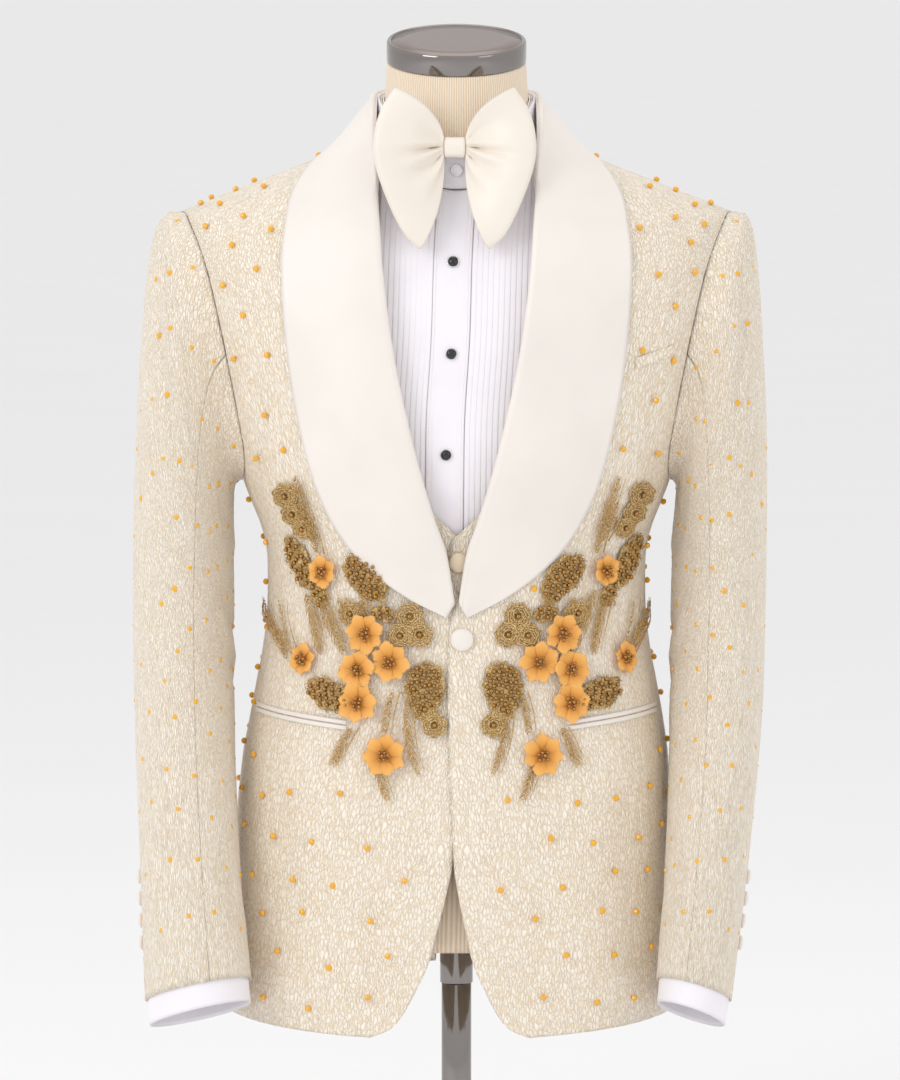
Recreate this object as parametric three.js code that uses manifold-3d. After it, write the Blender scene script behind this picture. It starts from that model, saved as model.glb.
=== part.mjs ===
// A tuxedo on a limbless dress form: an ivory dinner jacket with a wide satin shawl lapel, a waistcoat,
// a white pleated shirt and a butterfly bow tie, on a padded torso with a chrome neck cap, pole and base.
// Millimetres, +Z up, the front towards -Y, the wearer's left towards +X, the origin under the base.
import * as THREE from "three";
import { mergeVertices } from "three/addons/utils/BufferGeometryUtils.js";
import Module from "manifold-3d";

const wasm = await Module();
wasm.setup();

const { sin, cos, abs, min, max, PI, sign, asin, acos, hypot, floor } = Math;
const DEGREES = PI / 180;

// The body's frame. A level is a height up to the armpit, and counts on from there up to the ridge.
const ARMPIT = 650;
const RIDGE_LEVEL = 950;
const NECK_POINT = { x: 62, z: 936 };
const SHOULDER_SLOPE = 0.39;
const RIDGE_Y = 8;
const FRONT_POWER = 3.0; // how full the chest is up to the ridge
const BACK_POWER = 3.2;
const NECK_Y = -6; // the neck stands a little forward

// Cloth: how far each layer lies inside the jacket's outer face, and how thick its wall is.
const JACKET = { inset: 0, wall: 1.6 };
const UNDERLAP_INSET = 2.4;
const VEST = { inset: 5.1, wall: 1.2 };
const VEST_UNDERLAP = 2.1;
const BIB = { pleat: 0.9, pitch: 4.6, leftPleats: 12, rightPleats: 10 };
const PLACKET = { inset: 12, wall: 1.5, half: 15.5 };
const SHIRT = { inset: 12.8, wall: 1.0 };
const FORM_INSET = 21.6;
const SEAM = 0.3;
const SEAM_ANGLE = 0.06; // half a seam's gap, as an angle of the body
const LAID = 0.45; // between a panel and what is sewn on it

// The jacket's body, a row for each level: half its width, its depths in front and behind, how far it
// leans to one side and how square its section is.
const BODY = [
  { level: 195, half: 190, front: 131, back: 127, lean: -6, power: 2.4 },
  { level: 300, half: 186, front: 131, back: 129, lean: -4, power: 2.4 },
  { level: 412, half: 178.5, front: 128, back: 122, lean: -1, power: 2.4 },
  { level: 459, half: 171, front: 125, back: 112, lean: 0, power: 2.4 },
  { level: 520, half: 160, front: 120, back: 102, lean: 0, power: 2.4 },
  { level: 560, half: 157.5, front: 119, back: 99, lean: 0, power: 2.4 },
  { level: 600, half: 160, front: 121, back: 103, lean: 0, power: 2.4 },
  { level: 650, half: 178, front: 129, back: 114, lean: 0, power: 2.4 },
  { level: 710, half: 194, front: 135, back: 122, lean: 0, power: 2.5 },
  { level: 770, half: 208, front: 137, back: 126, lean: 0, power: 2.7 },
  { level: 830, half: 220, front: 137, back: 127, lean: 0, power: 2.9 },
  { level: 890, half: 227, front: 136, back: 127, lean: 0, power: 3.2 },
  { level: 950, half: 228, front: 136, back: 127, lean: 0, power: 3.3 },
];

// The armhole by its turn: down the front from the shoulder, under the arm and up the back.
const ARMHOLE = [
  { turn: 0, angle: 89, level: 950 },
  { turn: 20, angle: 78, level: 925 },
  { turn: 45, angle: 71.5, level: 880 },
  { turn: 70, angle: 67.5, level: 825 },
  { turn: 90, angle: 67.5, level: 775 },
  { turn: 110, angle: 68.5, level: 728 },
  { turn: 130, angle: 69.5, level: 690 },
  { turn: 150, angle: 73, level: 663 },
  { turn: 165, angle: 80.5, level: 651 },
  { turn: 180, angle: 90, level: 648 },
  { turn: 195, angle: 100, level: 651 },
  { turn: 210, angle: 108, level: 663 },
  { turn: 230, angle: 113, level: 690 },
  { turn: 250, angle: 114.5, level: 728 },
  { turn: 270, angle: 114.5, level: 775 },
  { turn: 290, angle: 113.5, level: 825 },
  { turn: 315, angle: 110, level: 880 },
  { turn: 340, angle: 103, level: 925 },
  { turn: 360, angle: 91, level: 950 },
];

// The jacket's front panel, a row from each place on its front edge to its side seam or armhole.
const FRONT_ROWS = [
  { x: 67, z: 198, side: 208 },
  { x: 54, z: 202.5, side: 214 },
  { x: 42.5, z: 212, side: 222 },
  { x: 29.5, z: 235, side: 240 },
  { x: 18, z: 261, side: 264 },
  { x: 11, z: 290, side: 292 },
  { x: 3.5, z: 324, side: 325 },
  { x: 0.3, z: 345, side: 352 },
  { x: -5, z: 420, side: 420 },
  { x: -7.5, z: 480, side: 480 },
  { x: -5, z: 540, side: 540 },
  { x: 6, z: 570, side: 580 },
  { x: 20, z: 622, side: 625 },
  { x: 33, z: 665, turn: 150 },
  { x: 43, z: 702, turn: 125 },
  { x: 51, z: 740, turn: 105 },
  { x: 58, z: 785, turn: 85 },
  { x: 63, z: 825, turn: 62 },
  { x: 65.5, z: 862, turn: 42 },
  { x: 67, z: 892, turn: 29 },
  { x: 70.5, z: 914, turn: 18 },
  { x: 72, z: 925.5, turn: 10 },
  { x: 72, z: 930.5, turn: 5 },
  { x: 72, z: 936, turn: 0 },
];
const UNDERLAP = 12; // how far the right front runs on under the left one

// The jacket's back panel, from its side seam or armhole to the centre back, with a vent at the hem.
const BACK_ROWS = [
  { side: 208, x: 12, z: 222 },
  { side: 292, x: 7.5, z: 297 },
  { side: 352, x: 2.5, z: 360 },
  { side: 420, x: 0.2, z: 430 },
  { side: 480, x: 0.2, z: 490 },
  { side: 540, x: 0.2, z: 545 },
  { side: 580, x: 0.2, z: 590 },
  { side: 625, x: 0.2, z: 635 },
  { turn: 210, x: 0.2, z: 690 },
  { turn: 240, x: 0.2, z: 750 },
  { turn: 270, x: 0.2, z: 805 },
  { turn: 300, x: 0.2, z: 850 },
  { turn: 318, x: 0.2, z: 877 },
  { turn: 332, x: 0.2, z: 897 },
  { turn: 346, x: 0.2, z: 912 },
  { turn: 360, x: 0.2, y: 62.5 },
];

// The levels of the jacket's side panel, up to where each of its seams meets the armhole.
const SIDE_LEVELS = [208, 292, 352, 420, 480, 540, 580, 625];
const FRONT_NOTCH = 150;
const BACK_NOTCH = 210;

// The shawl lapel, from its tip to the collarbone: its roll and its outer edge.
const LAPEL = [
  { row: 0, rollX: 2.5, rollZ: 556, edgeX: 8, edgeZ: 545 },
  { row: 1, rollX: 10, rollZ: 601, edgeX: 43, edgeZ: 563 },
  { row: 2, rollX: 20, rollZ: 630, edgeX: 74, edgeZ: 587 },
  { row: 3, rollX: 29, rollZ: 660, edgeX: 99, edgeZ: 618 },
  { row: 4, rollX: 37, rollZ: 690, edgeX: 116, edgeZ: 656 },
  { row: 5, rollX: 43, rollZ: 716, edgeX: 125.5, edgeZ: 692 },
  { row: 6, rollX: 50, rollZ: 748, edgeX: 134, edgeZ: 735 },
  { row: 7, rollX: 56, rollZ: 785, edgeX: 140, edgeZ: 785 },
  { row: 8, rollX: 61, rollZ: 825, edgeX: 142.6, edgeZ: 832 },
  { row: 9, rollX: 63.5, rollZ: 862, edgeX: 139.5, edgeZ: 865 },
  { row: 10, rollX: 65, rollZ: 885, edgeX: 136, edgeZ: 884 },
];
// The same band on round the neck: its roll, its outer edge on the shoulder and its seam at the neck.
const COLLAR = [
  { row: 0, rollX: 66, rollY: -82, rollZ: 906, edgeX: 130, edgeY: -50, seamX: 73, seamY: -71 },
  { row: 1, rollX: 69, rollY: -50, rollZ: 940, edgeX: 115, edgeY: -18, seamX: 74.5, seamY: -40 },
  { row: 2, rollX: 69.2, rollY: -14, rollZ: 963, edgeX: 99, edgeY: 10, seamX: 74, seamY: -4 },
  { row: 3, rollX: 67, rollY: 20, rollZ: 969, edgeX: 83, edgeY: 39, seamX: 69.5, seamY: 27 },
  { row: 4, rollX: 54.5, rollY: 50, rollZ: 970, edgeX: 60, edgeY: 65, seamX: 54, seamY: 49 },
  { row: 5, rollX: 28, rollY: 67.5, rollZ: 969, edgeX: 30, edgeY: 81, seamX: 28, seamY: 64 },
  { row: 6, rollX: 0.4, rollY: 73, rollZ: 968, edgeX: 0.4, edgeY: 86, seamX: 0.4, seamY: 68 },
];

// A sleeve, a row for each section: its outer and inner points on each arm, its middle from front to
// back, its half depth and its pitch in degrees. hold is how far a section keeps the armhole's shape.
const SLEEVE = [
  { t: 0, rightX: 228, leftX: 228, outZ: 871, rightIn: 181, leftIn: 181, inZ: 648, y: -2, deep: 62, pitch: 0, hold: 1 },
  { t: 0.03, rightX: 240, leftX: 237, outZ: 867, rightIn: 185, leftIn: 183, inZ: 640, y: -2, deep: 66, pitch: 0, hold: 0.7 },
  { t: 0.08, rightX: 248.5, leftX: 243, outZ: 850, rightIn: 186, leftIn: 182, inZ: 628, y: -2, deep: 71, pitch: 0, hold: 0.35 },
  { t: 0.16, rightX: 256, leftX: 249.5, outZ: 817, rightIn: 186, leftIn: 180.5, inZ: 606, y: -4, deep: 75, pitch: 0, hold: 0.08 },
  { t: 0.26, rightX: 261.5, leftX: 254.5, outZ: 765, rightIn: 185.5, leftIn: 179.5, inZ: 580, y: -7, deep: 76, pitch: 2, hold: 0 },
  { t: 0.38, rightX: 266, leftX: 258, outZ: 690, rightIn: 185, leftIn: 178.5, inZ: 548, y: -12, deep: 74, pitch: 4, hold: 0 },
  { t: 0.5, rightX: 268.5, leftX: 258, outZ: 610, rightIn: 185, leftIn: 178, inZ: 512, y: -20, deep: 70, pitch: 6, hold: 0 },
  { t: 0.62, rightX: 268.5, leftX: 256.5, outZ: 530, rightIn: 184.5, leftIn: 177, inZ: 470, y: -33, deep: 66, pitch: 8, hold: 0 },
  { t: 0.74, rightX: 266.5, leftX: 253, outZ: 450, rightIn: 183, leftIn: 176, inZ: 415, y: -54, deep: 60, pitch: 11, hold: 0 },
  { t: 0.86, rightX: 262, leftX: 242.5, outZ: 350, rightIn: 178.5, leftIn: 172, inZ: 338, y: -84, deep: 54, pitch: 14, hold: 0 },
  { t: 1, rightX: 257, leftX: 227, outZ: 226, rightIn: 169, leftIn: 164.5, inZ: 244, y: -108, deep: 50, pitch: 15, hold: 0 },
  { t: 1.03, rightX: 255.5, leftX: 223.5, outZ: 205, rightIn: 167, leftIn: 163, inZ: 226, y: -112, deep: 49, pitch: 15, hold: 0 },
];
// The turns of a sleeve's lengthwise lines, which meet the armhole where the panels have their corners.
const TOP_SLEEVE = [-42, -14, 0, 18, 42, 62, 85, 105];
const UNDER_SLEEVE = [105, 125, 150, 165, 180, 195, 210, 240, 270, 300, 318];

const mix = (a, b, t) => a + (b - a) * t;
const clamped = (t) => min(1, max(0, t));
const ease = (t) => clamped(t) ** 2 * (3 - 2 * clamped(t));
const vec = (x, y, z) => new THREE.Vector3(x, y, z);

// The value of one column of a table at a place between its rows, on a smooth curve.
function along(rows, by, column, at) {
  const last = rows.length - 1;
  if (at <= rows[0][by]) return rows[0][column];
  if (at >= rows[last][by]) return rows[last][column];
  let i = 0;
  while (rows[i + 1][by] < at) i++;
  const slope = (k) => {
    const [a, b] = [rows[max(k - 1, 0)], rows[min(k + 1, last)]];
    return (b[column] - a[column]) / (b[by] - a[by]);
  };
  const [p, q] = [rows[i], rows[i + 1]];
  const run = q[by] - p[by];
  const t = (at - p[by]) / run;
  const [t2, t3] = [t * t, t * t * t];
  const ends = (2 * t3 - 3 * t2 + 1) * p[column] + (3 * t2 - 2 * t3) * q[column];
  return ends + run * ((t3 - 2 * t2 + t) * slope(i) + (t3 - t2) * slope(i + 1));
}

// The height of the shoulder ridge at a distance from the middle.
const ridge = (x) => NECK_POINT.z - SHOULDER_SLOPE * max(abs(x) - NECK_POINT.x, 0);

// A point of the body: angle is 0 at the middle of the front and 180 at the middle of the back.
function body(side, angle, level, inset = 0) {
  const turn = abs(angle) * DEGREES;
  const facing = cos(turn) >= 0 ? -1 : 1;
  const power = along(BODY, "level", "power", level);
  const across = abs(sin(turn)) ** (2 / power) * sign(sin(turn)) * sign(angle);
  const deep = abs(cos(turn)) ** (2 / power);
  const x = side * (along(BODY, "level", "half", level) - inset) * across;
  const depth = along(BODY, "level", facing < 0 ? "front" : "back", level) - inset;
  if (level <= ARMPIT) return vec(x + along(BODY, "level", "lean", level), facing * depth * deep, level);
  const rise = clamped((level - ARMPIT) / (RIDGE_LEVEL - ARMPIT)) * (PI / 2);
  const closing = max(0, cos(rise)) ** (2 / (facing < 0 ? FRONT_POWER : BACK_POWER));
  const y = mix(RIDGE_Y + facing * (SEAM / 2), facing * depth * deep, closing);
  return vec(x, y, mix(ARMPIT, ridge(x) - inset, sin(rise)));
}

// The angle and level of the place on the front or back at x, z.
function placeAt(x, z, behind = false) {
  const share = clamped((z - ARMPIT) / (ridge(x) - ARMPIT));
  const level = z <= ARMPIT ? z : ARMPIT + (RIDGE_LEVEL - ARMPIT) * (asin(share) / (PI / 2));
  const out = min(1, abs(x) / along(BODY, "level", "half", level));
  const angle = asin(out ** (along(BODY, "level", "power", level) / 2)) / DEGREES;
  return { angle: behind ? 180 - angle : angle * (sign(x) || 1), level };
}

// The same for a place on top of the shoulders at x, y.
function placeOnTop(x, y, inset = 0) {
  const behind = y > RIDGE_Y;
  const top = BODY[BODY.length - 1];
  const out = min(1, abs(x) / (top.half - inset));
  const deep = (1 - out ** top.power) ** (1 / top.power);
  const reach = behind ? (top.back - inset) * deep : -(top.front - inset) * deep;
  const closing = clamped((y - RIDGE_Y) / (reach - RIDGE_Y));
  const rise = acos(closing ** ((behind ? BACK_POWER : FRONT_POWER) / 2));
  const angle = asin(out ** (top.power / 2)) / DEGREES;
  return {
    angle: behind ? 180 - angle : angle,
    level: ARMPIT + (RIDGE_LEVEL - ARMPIT) * (rise / (PI / 2)),
  };
}

// A place moved out along the cloth's normal.
function lifted(side, { angle, level }, out, inset = 0) {
  const low = min(level, RIDGE_LEVEL - 6);
  const spread = abs(angle) < 2 ? 2 : 1;
  const across = body(side, angle + spread, low, inset).sub(body(side, angle - spread, low, inset));
  const up = body(side, angle, low + 3, inset).sub(body(side, angle, low - 3, inset));
  const normal = across.cross(up).normalize().multiplyScalar(side);
  return body(side, angle, level, inset).addScaledVector(normal, out);
}
const onFront = (side, x, z, out) => lifted(side, placeAt(x, z), out);

// The armhole at a turn. Inner layers are cut wider by an angle.
function armhole(turn, wider = 0) {
  const angle = along(ARMHOLE, "turn", "angle", turn);
  const level = along(ARMHOLE, "turn", "level", turn);
  const more = wider * (1 + 1.5 * max(0, cos(turn * DEGREES)));
  const away = angle < 90 ? -more : more;
  return { angle: angle + away * ease(abs(angle - 90) / 8 + (level > 900 ? 1 : 0)), level: level - wider * (level < 700 ? 2.5 : 0) };
}

// A grid of points from a function of two shares, each from 0 to 1.
const gridOf = (rows, columns, point) =>
  Array.from({ length: rows + 1 }, (_, i) =>
    Array.from({ length: columns + 1 }, (_, j) => point(i / rows, j / columns)),
  );

// A geometry from points and faces, with its faces turned to point out.
function closed(points, faces) {
  let volume = 0;
  for (let i = 0; i < faces.length; i += 3) {
    const [a, b, c] = [points[faces[i]], points[faces[i + 1]], points[faces[i + 2]]];
    volume += a.dot(b.clone().cross(c));
  }
  if (volume < 0)
    for (let i = 0; i < faces.length; i += 3)
      [faces[i + 1], faces[i + 2]] = [faces[i + 2], faces[i + 1]];
  const geometry = new THREE.BufferGeometry().setFromPoints(points);
  geometry.setIndex(faces);
  return geometry;
}

// A wall between two grids of points. A round one closes on itself along its columns.
function wall(outer, inner, round = false) {
  const rows = outer.length;
  const columns = outer[0].length;
  const layer = rows * columns;
  const faces = [];
  const quad = (a, b, c, d) => faces.push(a, b, c, a, c, d);
  const at = (i, j) => i * columns + (j % columns);
  const last = round ? columns : columns - 1;
  for (let i = 0; i < rows - 1; i++)
    for (let j = 0; j < last; j++) {
      const [a, b, c, d] = [at(i, j), at(i, j + 1), at(i + 1, j + 1), at(i + 1, j)];
      quad(a, b, c, d);
      quad(layer + a, layer + d, layer + c, layer + b);
    }
  const rim = (a, b) => quad(b, a, layer + a, layer + b);
  for (let j = 0; j < last; j++) {
    rim(at(0, j), at(0, j + 1));
    rim(at(rows - 1, j + 1), at(rows - 1, j));
  }
  if (!round)
    for (let i = 0; i < rows - 1; i++) {
      rim(at(i + 1, 0), at(i, 0));
      rim(at(i, columns - 1), at(i + 1, columns - 1));
    }
  return closed([...outer.flat(), ...inner.flat()], faces);
}

// A solid through rings of points, with a fan over each end from a given point or from its mean.
function loft(rings, ends = []) {
  const n = rings[0].length;
  const points = rings.flat();
  const faces = [];
  for (let i = 0; i < rings.length - 1; i++)
    for (let j = 0; j < n; j++) {
      const [a, b] = [i * n + j, i * n + ((j + 1) % n)];
      faces.push(a, b, b + n, a, b + n, a + n);
    }
  const fan = (start, flip, end) => {
    const mean = vec(0, 0, 0);
    for (let j = 0; j < n; j++) mean.addScaledVector(points[start + j], 1 / n);
    const centre = points.push(end ?? mean) - 1;
    for (let j = 0; j < n; j++) {
      const pair = [start + j, start + ((j + 1) % n)];
      faces.push(centre, ...(flip ? pair.reverse() : pair));
    }
  };
  fan(0, true, ends[0]);
  fan((rings.length - 1) * n, false, ends[1]);
  return closed(points, faces);
}

// The wall of a given thickness on both sides of a grid of points.
function thickened(grid, thickness, round = false, settle = (p) => p) {
  const rows = grid.length;
  const columns = grid[0].length;
  const pick = (i, j) => {
    const row = grid[min(max(i, 0), rows - 1)];
    return round ? row[(j + columns) % columns] : row[min(max(j, 0), columns - 1)];
  };
  const layer = (by) =>
    grid.map((row, i) =>
      row.map((p, j) => {
        const across = pick(i, j + 1).clone().sub(pick(i, j - 1));
        const normal = across.cross(pick(i + 1, j).clone().sub(pick(i - 1, j))).normalize();
        return settle(p.clone().addScaledVector(normal, by), i, j);
      }),
    );
  return wall(layer(thickness / 2), layer(-thickness / 2), round);
}

// Joins closed geometries into one.
function joined(geometries) {
  const solids = geometries.map((geometry) => {
    const bare = geometry.clone();
    for (const name of Object.keys(bare.attributes))
      if (name !== "position") bare.deleteAttribute(name);
    const merged = mergeVertices(bare, 1e-4);
    return new wasm.Manifold(
      new wasm.Mesh({
        numProp: 3,
        vertProperties: merged.attributes.position.array,
        triVerts: new Uint32Array(merged.index.array),
      }),
    );
  });
  const mesh = solids.reduce((a, b) => a.add(b)).getMesh();
  const geometry = new THREE.BufferGeometry();
  geometry.setAttribute("position", new THREE.BufferAttribute(mesh.vertProperties, 3));
  geometry.setIndex(new THREE.BufferAttribute(mesh.triVerts, 1));
  return geometry;
}

// Materials, by what the pieces are made of.
const finish = (color, roughness, metalness = 0) =>
  new THREE.MeshStandardMaterial({ color, roughness, metalness });
const CLOQUE = finish(0xf0e4d0, 0.75);
const SATIN = finish(0xf7efe4, 0.45);
const COTTON = finish(0xf6f4fa, 0.8);
const JERSEY = finish(0xe6cfae, 0.85);
const CHROME = finish(0xc8c8cc, 0.12, 1);
const GOLD = finish(0xd79a45, 0.6);
const ONYX = finish(0x0c0c0e, 0.2);

const model = new THREE.Group();
function add(name, geometry, material) {
  const mesh = new THREE.Mesh(geometry, material);
  mesh.name = name;
  model.add(mesh);
}
const SIDES = [
  { name: "left", side: 1 },
  { name: "right", side: -1 },
];

// A panel of cloth on the body between four cut edges, each a function of a share that gives a place.
function panel(side, { start, end, foot, head }, rows, columns, layer, relief = () => 0) {
  const blend = (v, w, key) => {
    const corners = mix(mix(foot(0)[key], foot(1)[key], w), mix(head(0)[key], head(1)[key], w), v);
    return mix(start(v)[key], end(v)[key], w) + mix(foot(w)[key], head(w)[key], v) - corners;
  };
  const face = (extra, raised) =>
    gridOf(rows, columns, (v, w) => {
      const place = { angle: blend(v, w, "angle"), level: blend(v, w, "level") };
      return body(side, place.angle, place.level, layer.inset + extra + relief(place, raised, w));
    });
  return wall(face(0, true), face(layer.wall, false));
}
const straight = (a, b) => (t) => ({ angle: mix(a.angle, b.angle, t), level: mix(a.level, b.level, t) });

// The place of an edge of a panel from its table of rows, at a share of the way up.
const rowAt = (table, v) => {
  const i = min(table.length - 2, floor(v * (table.length - 1)));
  return { a: table[i], b: table[i + 1], t: v * (table.length - 1) - i };
};
function sideEdge(table, seam, gap, v) {
  const { a, b, t } = rowAt(table, v);
  const place = (row) =>
    row.turn === undefined ? { angle: seam, level: row.side } : armhole(row.turn);
  const [low, high] = [place(a), place(b)];
  return { angle: mix(low.angle, high.angle, t) + gap, level: mix(low.level, high.level, t) };
}

const FRONT_SEAM = 73;
const BACK_SEAM = 108;
for (const { name, side } of SIDES) {
  const lap = side < 0 ? UNDERLAP_INSET : 0;
  const frontPlace = (row) => {
    const under = side < 0 ? (UNDERLAP - 5) * ease((row.z - 345) / 60) * (1 - ease((row.z - 540) / 70)) : 0;
    return placeAt(row.x - under, row.z);
  };
  const frontEdge = (v) => {
    const { a, b, t } = rowAt(FRONT_ROWS, v);
    const [low, high] = [frontPlace(a), frontPlace(b)];
    return { angle: mix(low.angle, high.angle, t), level: mix(low.level, high.level, t) };
  };
  const frontSide = (v) => sideEdge(FRONT_ROWS, FRONT_SEAM, -SEAM_ANGLE, v);
  const front = {
    start: frontEdge,
    end: frontSide,
    foot: straight(frontEdge(0), frontSide(0)),
    head: straight(frontEdge(1), frontSide(1)),
  };
  const overlap = ({ angle }) => lap * (1 - ease((angle - 14) / 10));
  add(`jacket_front_${name}`, panel(side, front, FRONT_ROWS.length - 1, 7, JACKET, overlap), CLOQUE);

  const underArm = (w) => armhole(mix(FRONT_NOTCH, BACK_NOTCH, w));
  const sideSeam = (seam, notch) => {
    const rows = [...SIDE_LEVELS.map((level) => ({ side: level })), { turn: notch }];
    return (v) => sideEdge(rows, seam, sign(90 - seam) * SEAM_ANGLE, v);
  };
  const sideFront = sideSeam(FRONT_SEAM, FRONT_NOTCH);
  const sideBack = sideSeam(BACK_SEAM, BACK_NOTCH);
  const sidePanel = {
    start: sideFront,
    end: sideBack,
    foot: straight(sideFront(0), sideBack(0)),
    head: (w) => ({ angle: underArm(w).angle + SEAM_ANGLE * (1 - 2 * w), level: underArm(w).level }),
  };
  add(`jacket_side_${name}`, panel(side, sidePanel, SIDE_LEVELS.length, 4, JACKET), CLOQUE);

  const backPlace = (row) => (row.z === undefined ? placeOnTop(row.x, row.y) : placeAt(row.x, row.z, true));
  const centreBack = (v) => {
    const { a, b, t } = rowAt(BACK_ROWS, v);
    const [low, high] = [backPlace(a), backPlace(b)];
    return { angle: mix(low.angle, high.angle, t), level: mix(low.level, high.level, t) };
  };
  const backSide = (v) => sideEdge(BACK_ROWS, BACK_SEAM, SEAM_ANGLE, v);
  const neckShare = 0.55;
  const neckCorner = { angle: placeAt(72, 936, true).angle, level: RIDGE_LEVEL };
  const back = {
    start: backSide,
    end: centreBack,
    foot: straight(backSide(0), centreBack(0)),
    head: (w) => {
      if (w <= neckShare) return straight(backSide(1), neckCorner)(w / neckShare);
      const around = ((w - neckShare) / (1 - neckShare)) * (PI / 2);
      return placeOnTop(max(0.2, 72 * cos(around)), RIDGE_Y + SEAM / 2 + (62.5 - RIDGE_Y) * sin(around));
    },
  };
  add(`jacket_back_${name}`, panel(side, back, BACK_ROWS.length - 1, 7, JACKET), CLOQUE);
}

// The shawl: across each row the fall runs up to the roll, over it and back under.
const LAPEL_WALL = 1.8;
const FALL_COLUMNS = 5;
const FLAT = 1.5 + LAPEL_WALL / 2;
const LAPEL_ROLL = [
  { back: 1.8, out: 6.6 },
  { back: -0.4, out: 5.4 },
  { back: -0.6, out: 3.9 },
  { back: 1.4, out: 2.6 },
  { back: 8, out: FLAT },
];
const COLLAR_ROLL = [
  { away: 1.6, up: -0.9 },
  { away: 0, up: 0 },
  { away: -1.6, up: -1 },
  { away: -2.3, up: -5 },
];
function lapelRow(side, row) {
  const at = (key) => along(LAPEL, "row", key, row);
  const [roll, edge] = [{ x: at("rollX"), z: at("rollZ") }, { x: at("edgeX"), z: at("edgeZ") }];
  const width = hypot(edge.x - roll.x, edge.z - roll.z);
  const place = (back, out) => {
    const t = back / width;
    return onFront(side, mix(roll.x, edge.x, t), mix(roll.z, edge.z, t), out);
  };
  const full = min(1, width / 60);
  const points = [];
  for (let k = 0; k <= FALL_COLUMNS; k++) {
    const t = k / FALL_COLUMNS;
    points.push(place(mix(width, min(5, width * 0.3), t), mix(FLAT, mix(4.2, 6.7, full), ease(t))));
  }
  for (const { back, out } of LAPEL_ROLL)
    points.push(place(min(back, width * 0.45), mix(FLAT + (out - FLAT) * 0.6, out, full)));
  return points;
}
function collarRow(side, row) {
  const at = (key) => along(COLLAR, "row", key, row);
  const roll = vec(side * at("rollX"), at("rollY"), at("rollZ"));
  const edge = lifted(side, placeOnTop(at("edgeX"), at("edgeY")), FLAT);
  const seam = lifted(side, placeOnTop(at("seamX"), at("seamY")), FLAT + 1);
  const away = vec(roll.x, roll.y - NECK_Y, 0).normalize();
  const crest = roll.clone().addScaledVector(away, 2.3).add(vec(0, 0, -3.5));
  const points = [];
  for (let k = 0; k <= FALL_COLUMNS; k++) {
    const t = k / FALL_COLUMNS;
    const bulge = 3 * sin(PI * t);
    points.push(edge.clone().lerp(crest, t).addScaledVector(away, bulge * 0.5).add(vec(0, 0, bulge * 0.8)));
  }
  for (const { away: by, up } of COLLAR_ROLL)
    points.push(roll.clone().addScaledVector(away, by).add(vec(0, 0, up)));
  points.push(seam);
  return points;
}
for (const { name, side } of SIDES) {
  const rows = [];
  for (let i = 0; i <= 11; i++) rows.push(lapelRow(side, (i / 11) * 10));
  for (let i = 0; i <= 6; i++) rows.push(collarRow(side, i));
  const atMiddle = (p, i) => (i === rows.length - 1 ? vec(side * 0.2, p.y, p.z) : p);
  add(`shawl_collar_${name}`, thickened(rows, LAPEL_WALL, false, atMiddle), SATIN);
}

// A ring of points on a sleeve at a place along it. inset moves it inwards.
function sleeveRing(side, t, turns, inset = 0) {
  const at = (key) => along(SLEEVE, "t", key, t);
  const arm = side < 0 ? "right" : "left";
  const outer = { x: at(`${arm}X`), z: at("outZ") };
  const inner = { x: at(`${arm}In`), z: at("inZ") };
  const middle = vec((outer.x + inner.x) / 2, at("y"), (outer.z + inner.z) / 2);
  const half = hypot(outer.x - inner.x, outer.z - inner.z) / 2;
  const narrow = (half - inset) / half;
  const root = body(1, 90, 775);
  return turns.map((turn) => {
    const [c, s] = [cos(turn * DEGREES), sin(turn * DEGREES)];
    const free = vec(
      side * (middle.x + ((outer.x - inner.x) / 2) * c * narrow),
      middle.y - (at("deep") - inset) * s,
      middle.z + ((outer.z - inner.z) / 2) * c * narrow + (at("deep") - inset) * s * Math.tan(at("pitch") * DEGREES),
    );
    const hold = at("hold");
    if (hold === 0) return free;
    const { angle, level } = armhole(((turn % 360) + 360) % 360);
    const held = body(side, angle, level, inset);
    const hub = vec(side * root.x, root.y, held.z * 0.4 + 760 * 0.6);
    held.addScaledVector(hub.sub(held).normalize(), 0.5 + max(0, inset - 2) * 0.8);
    held.x += side * 36 * (1 - hold) * (0.35 + 0.65 * max(0, c));
    return free.lerp(held, hold);
  });
}
const withGap = (turns, gap) =>
  turns.map((turn, i) => turn + (i === 0 ? gap : 0) - (i === turns.length - 1 ? gap : 0));
const SLEEVE_ROWS = 11;
const sleeveShare = (i, last, end) => end * (i / last) ** 1.35;
for (const { name, side } of SIDES) {
  for (const [piece, span] of [
    ["top", TOP_SLEEVE],
    ["under", UNDER_SLEEVE],
  ]) {
    const turns = withGap(span, 0.3);
    const face = (inset) =>
      Array.from({ length: SLEEVE_ROWS + 1 }, (_, i) =>
        sleeveRing(side, sleeveShare(i, SLEEVE_ROWS, 1), turns, inset),
      );
    add(`jacket_${piece}_sleeve_${name}`, wall(face(0), face(JACKET.wall)), CLOQUE);
  }
}

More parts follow.
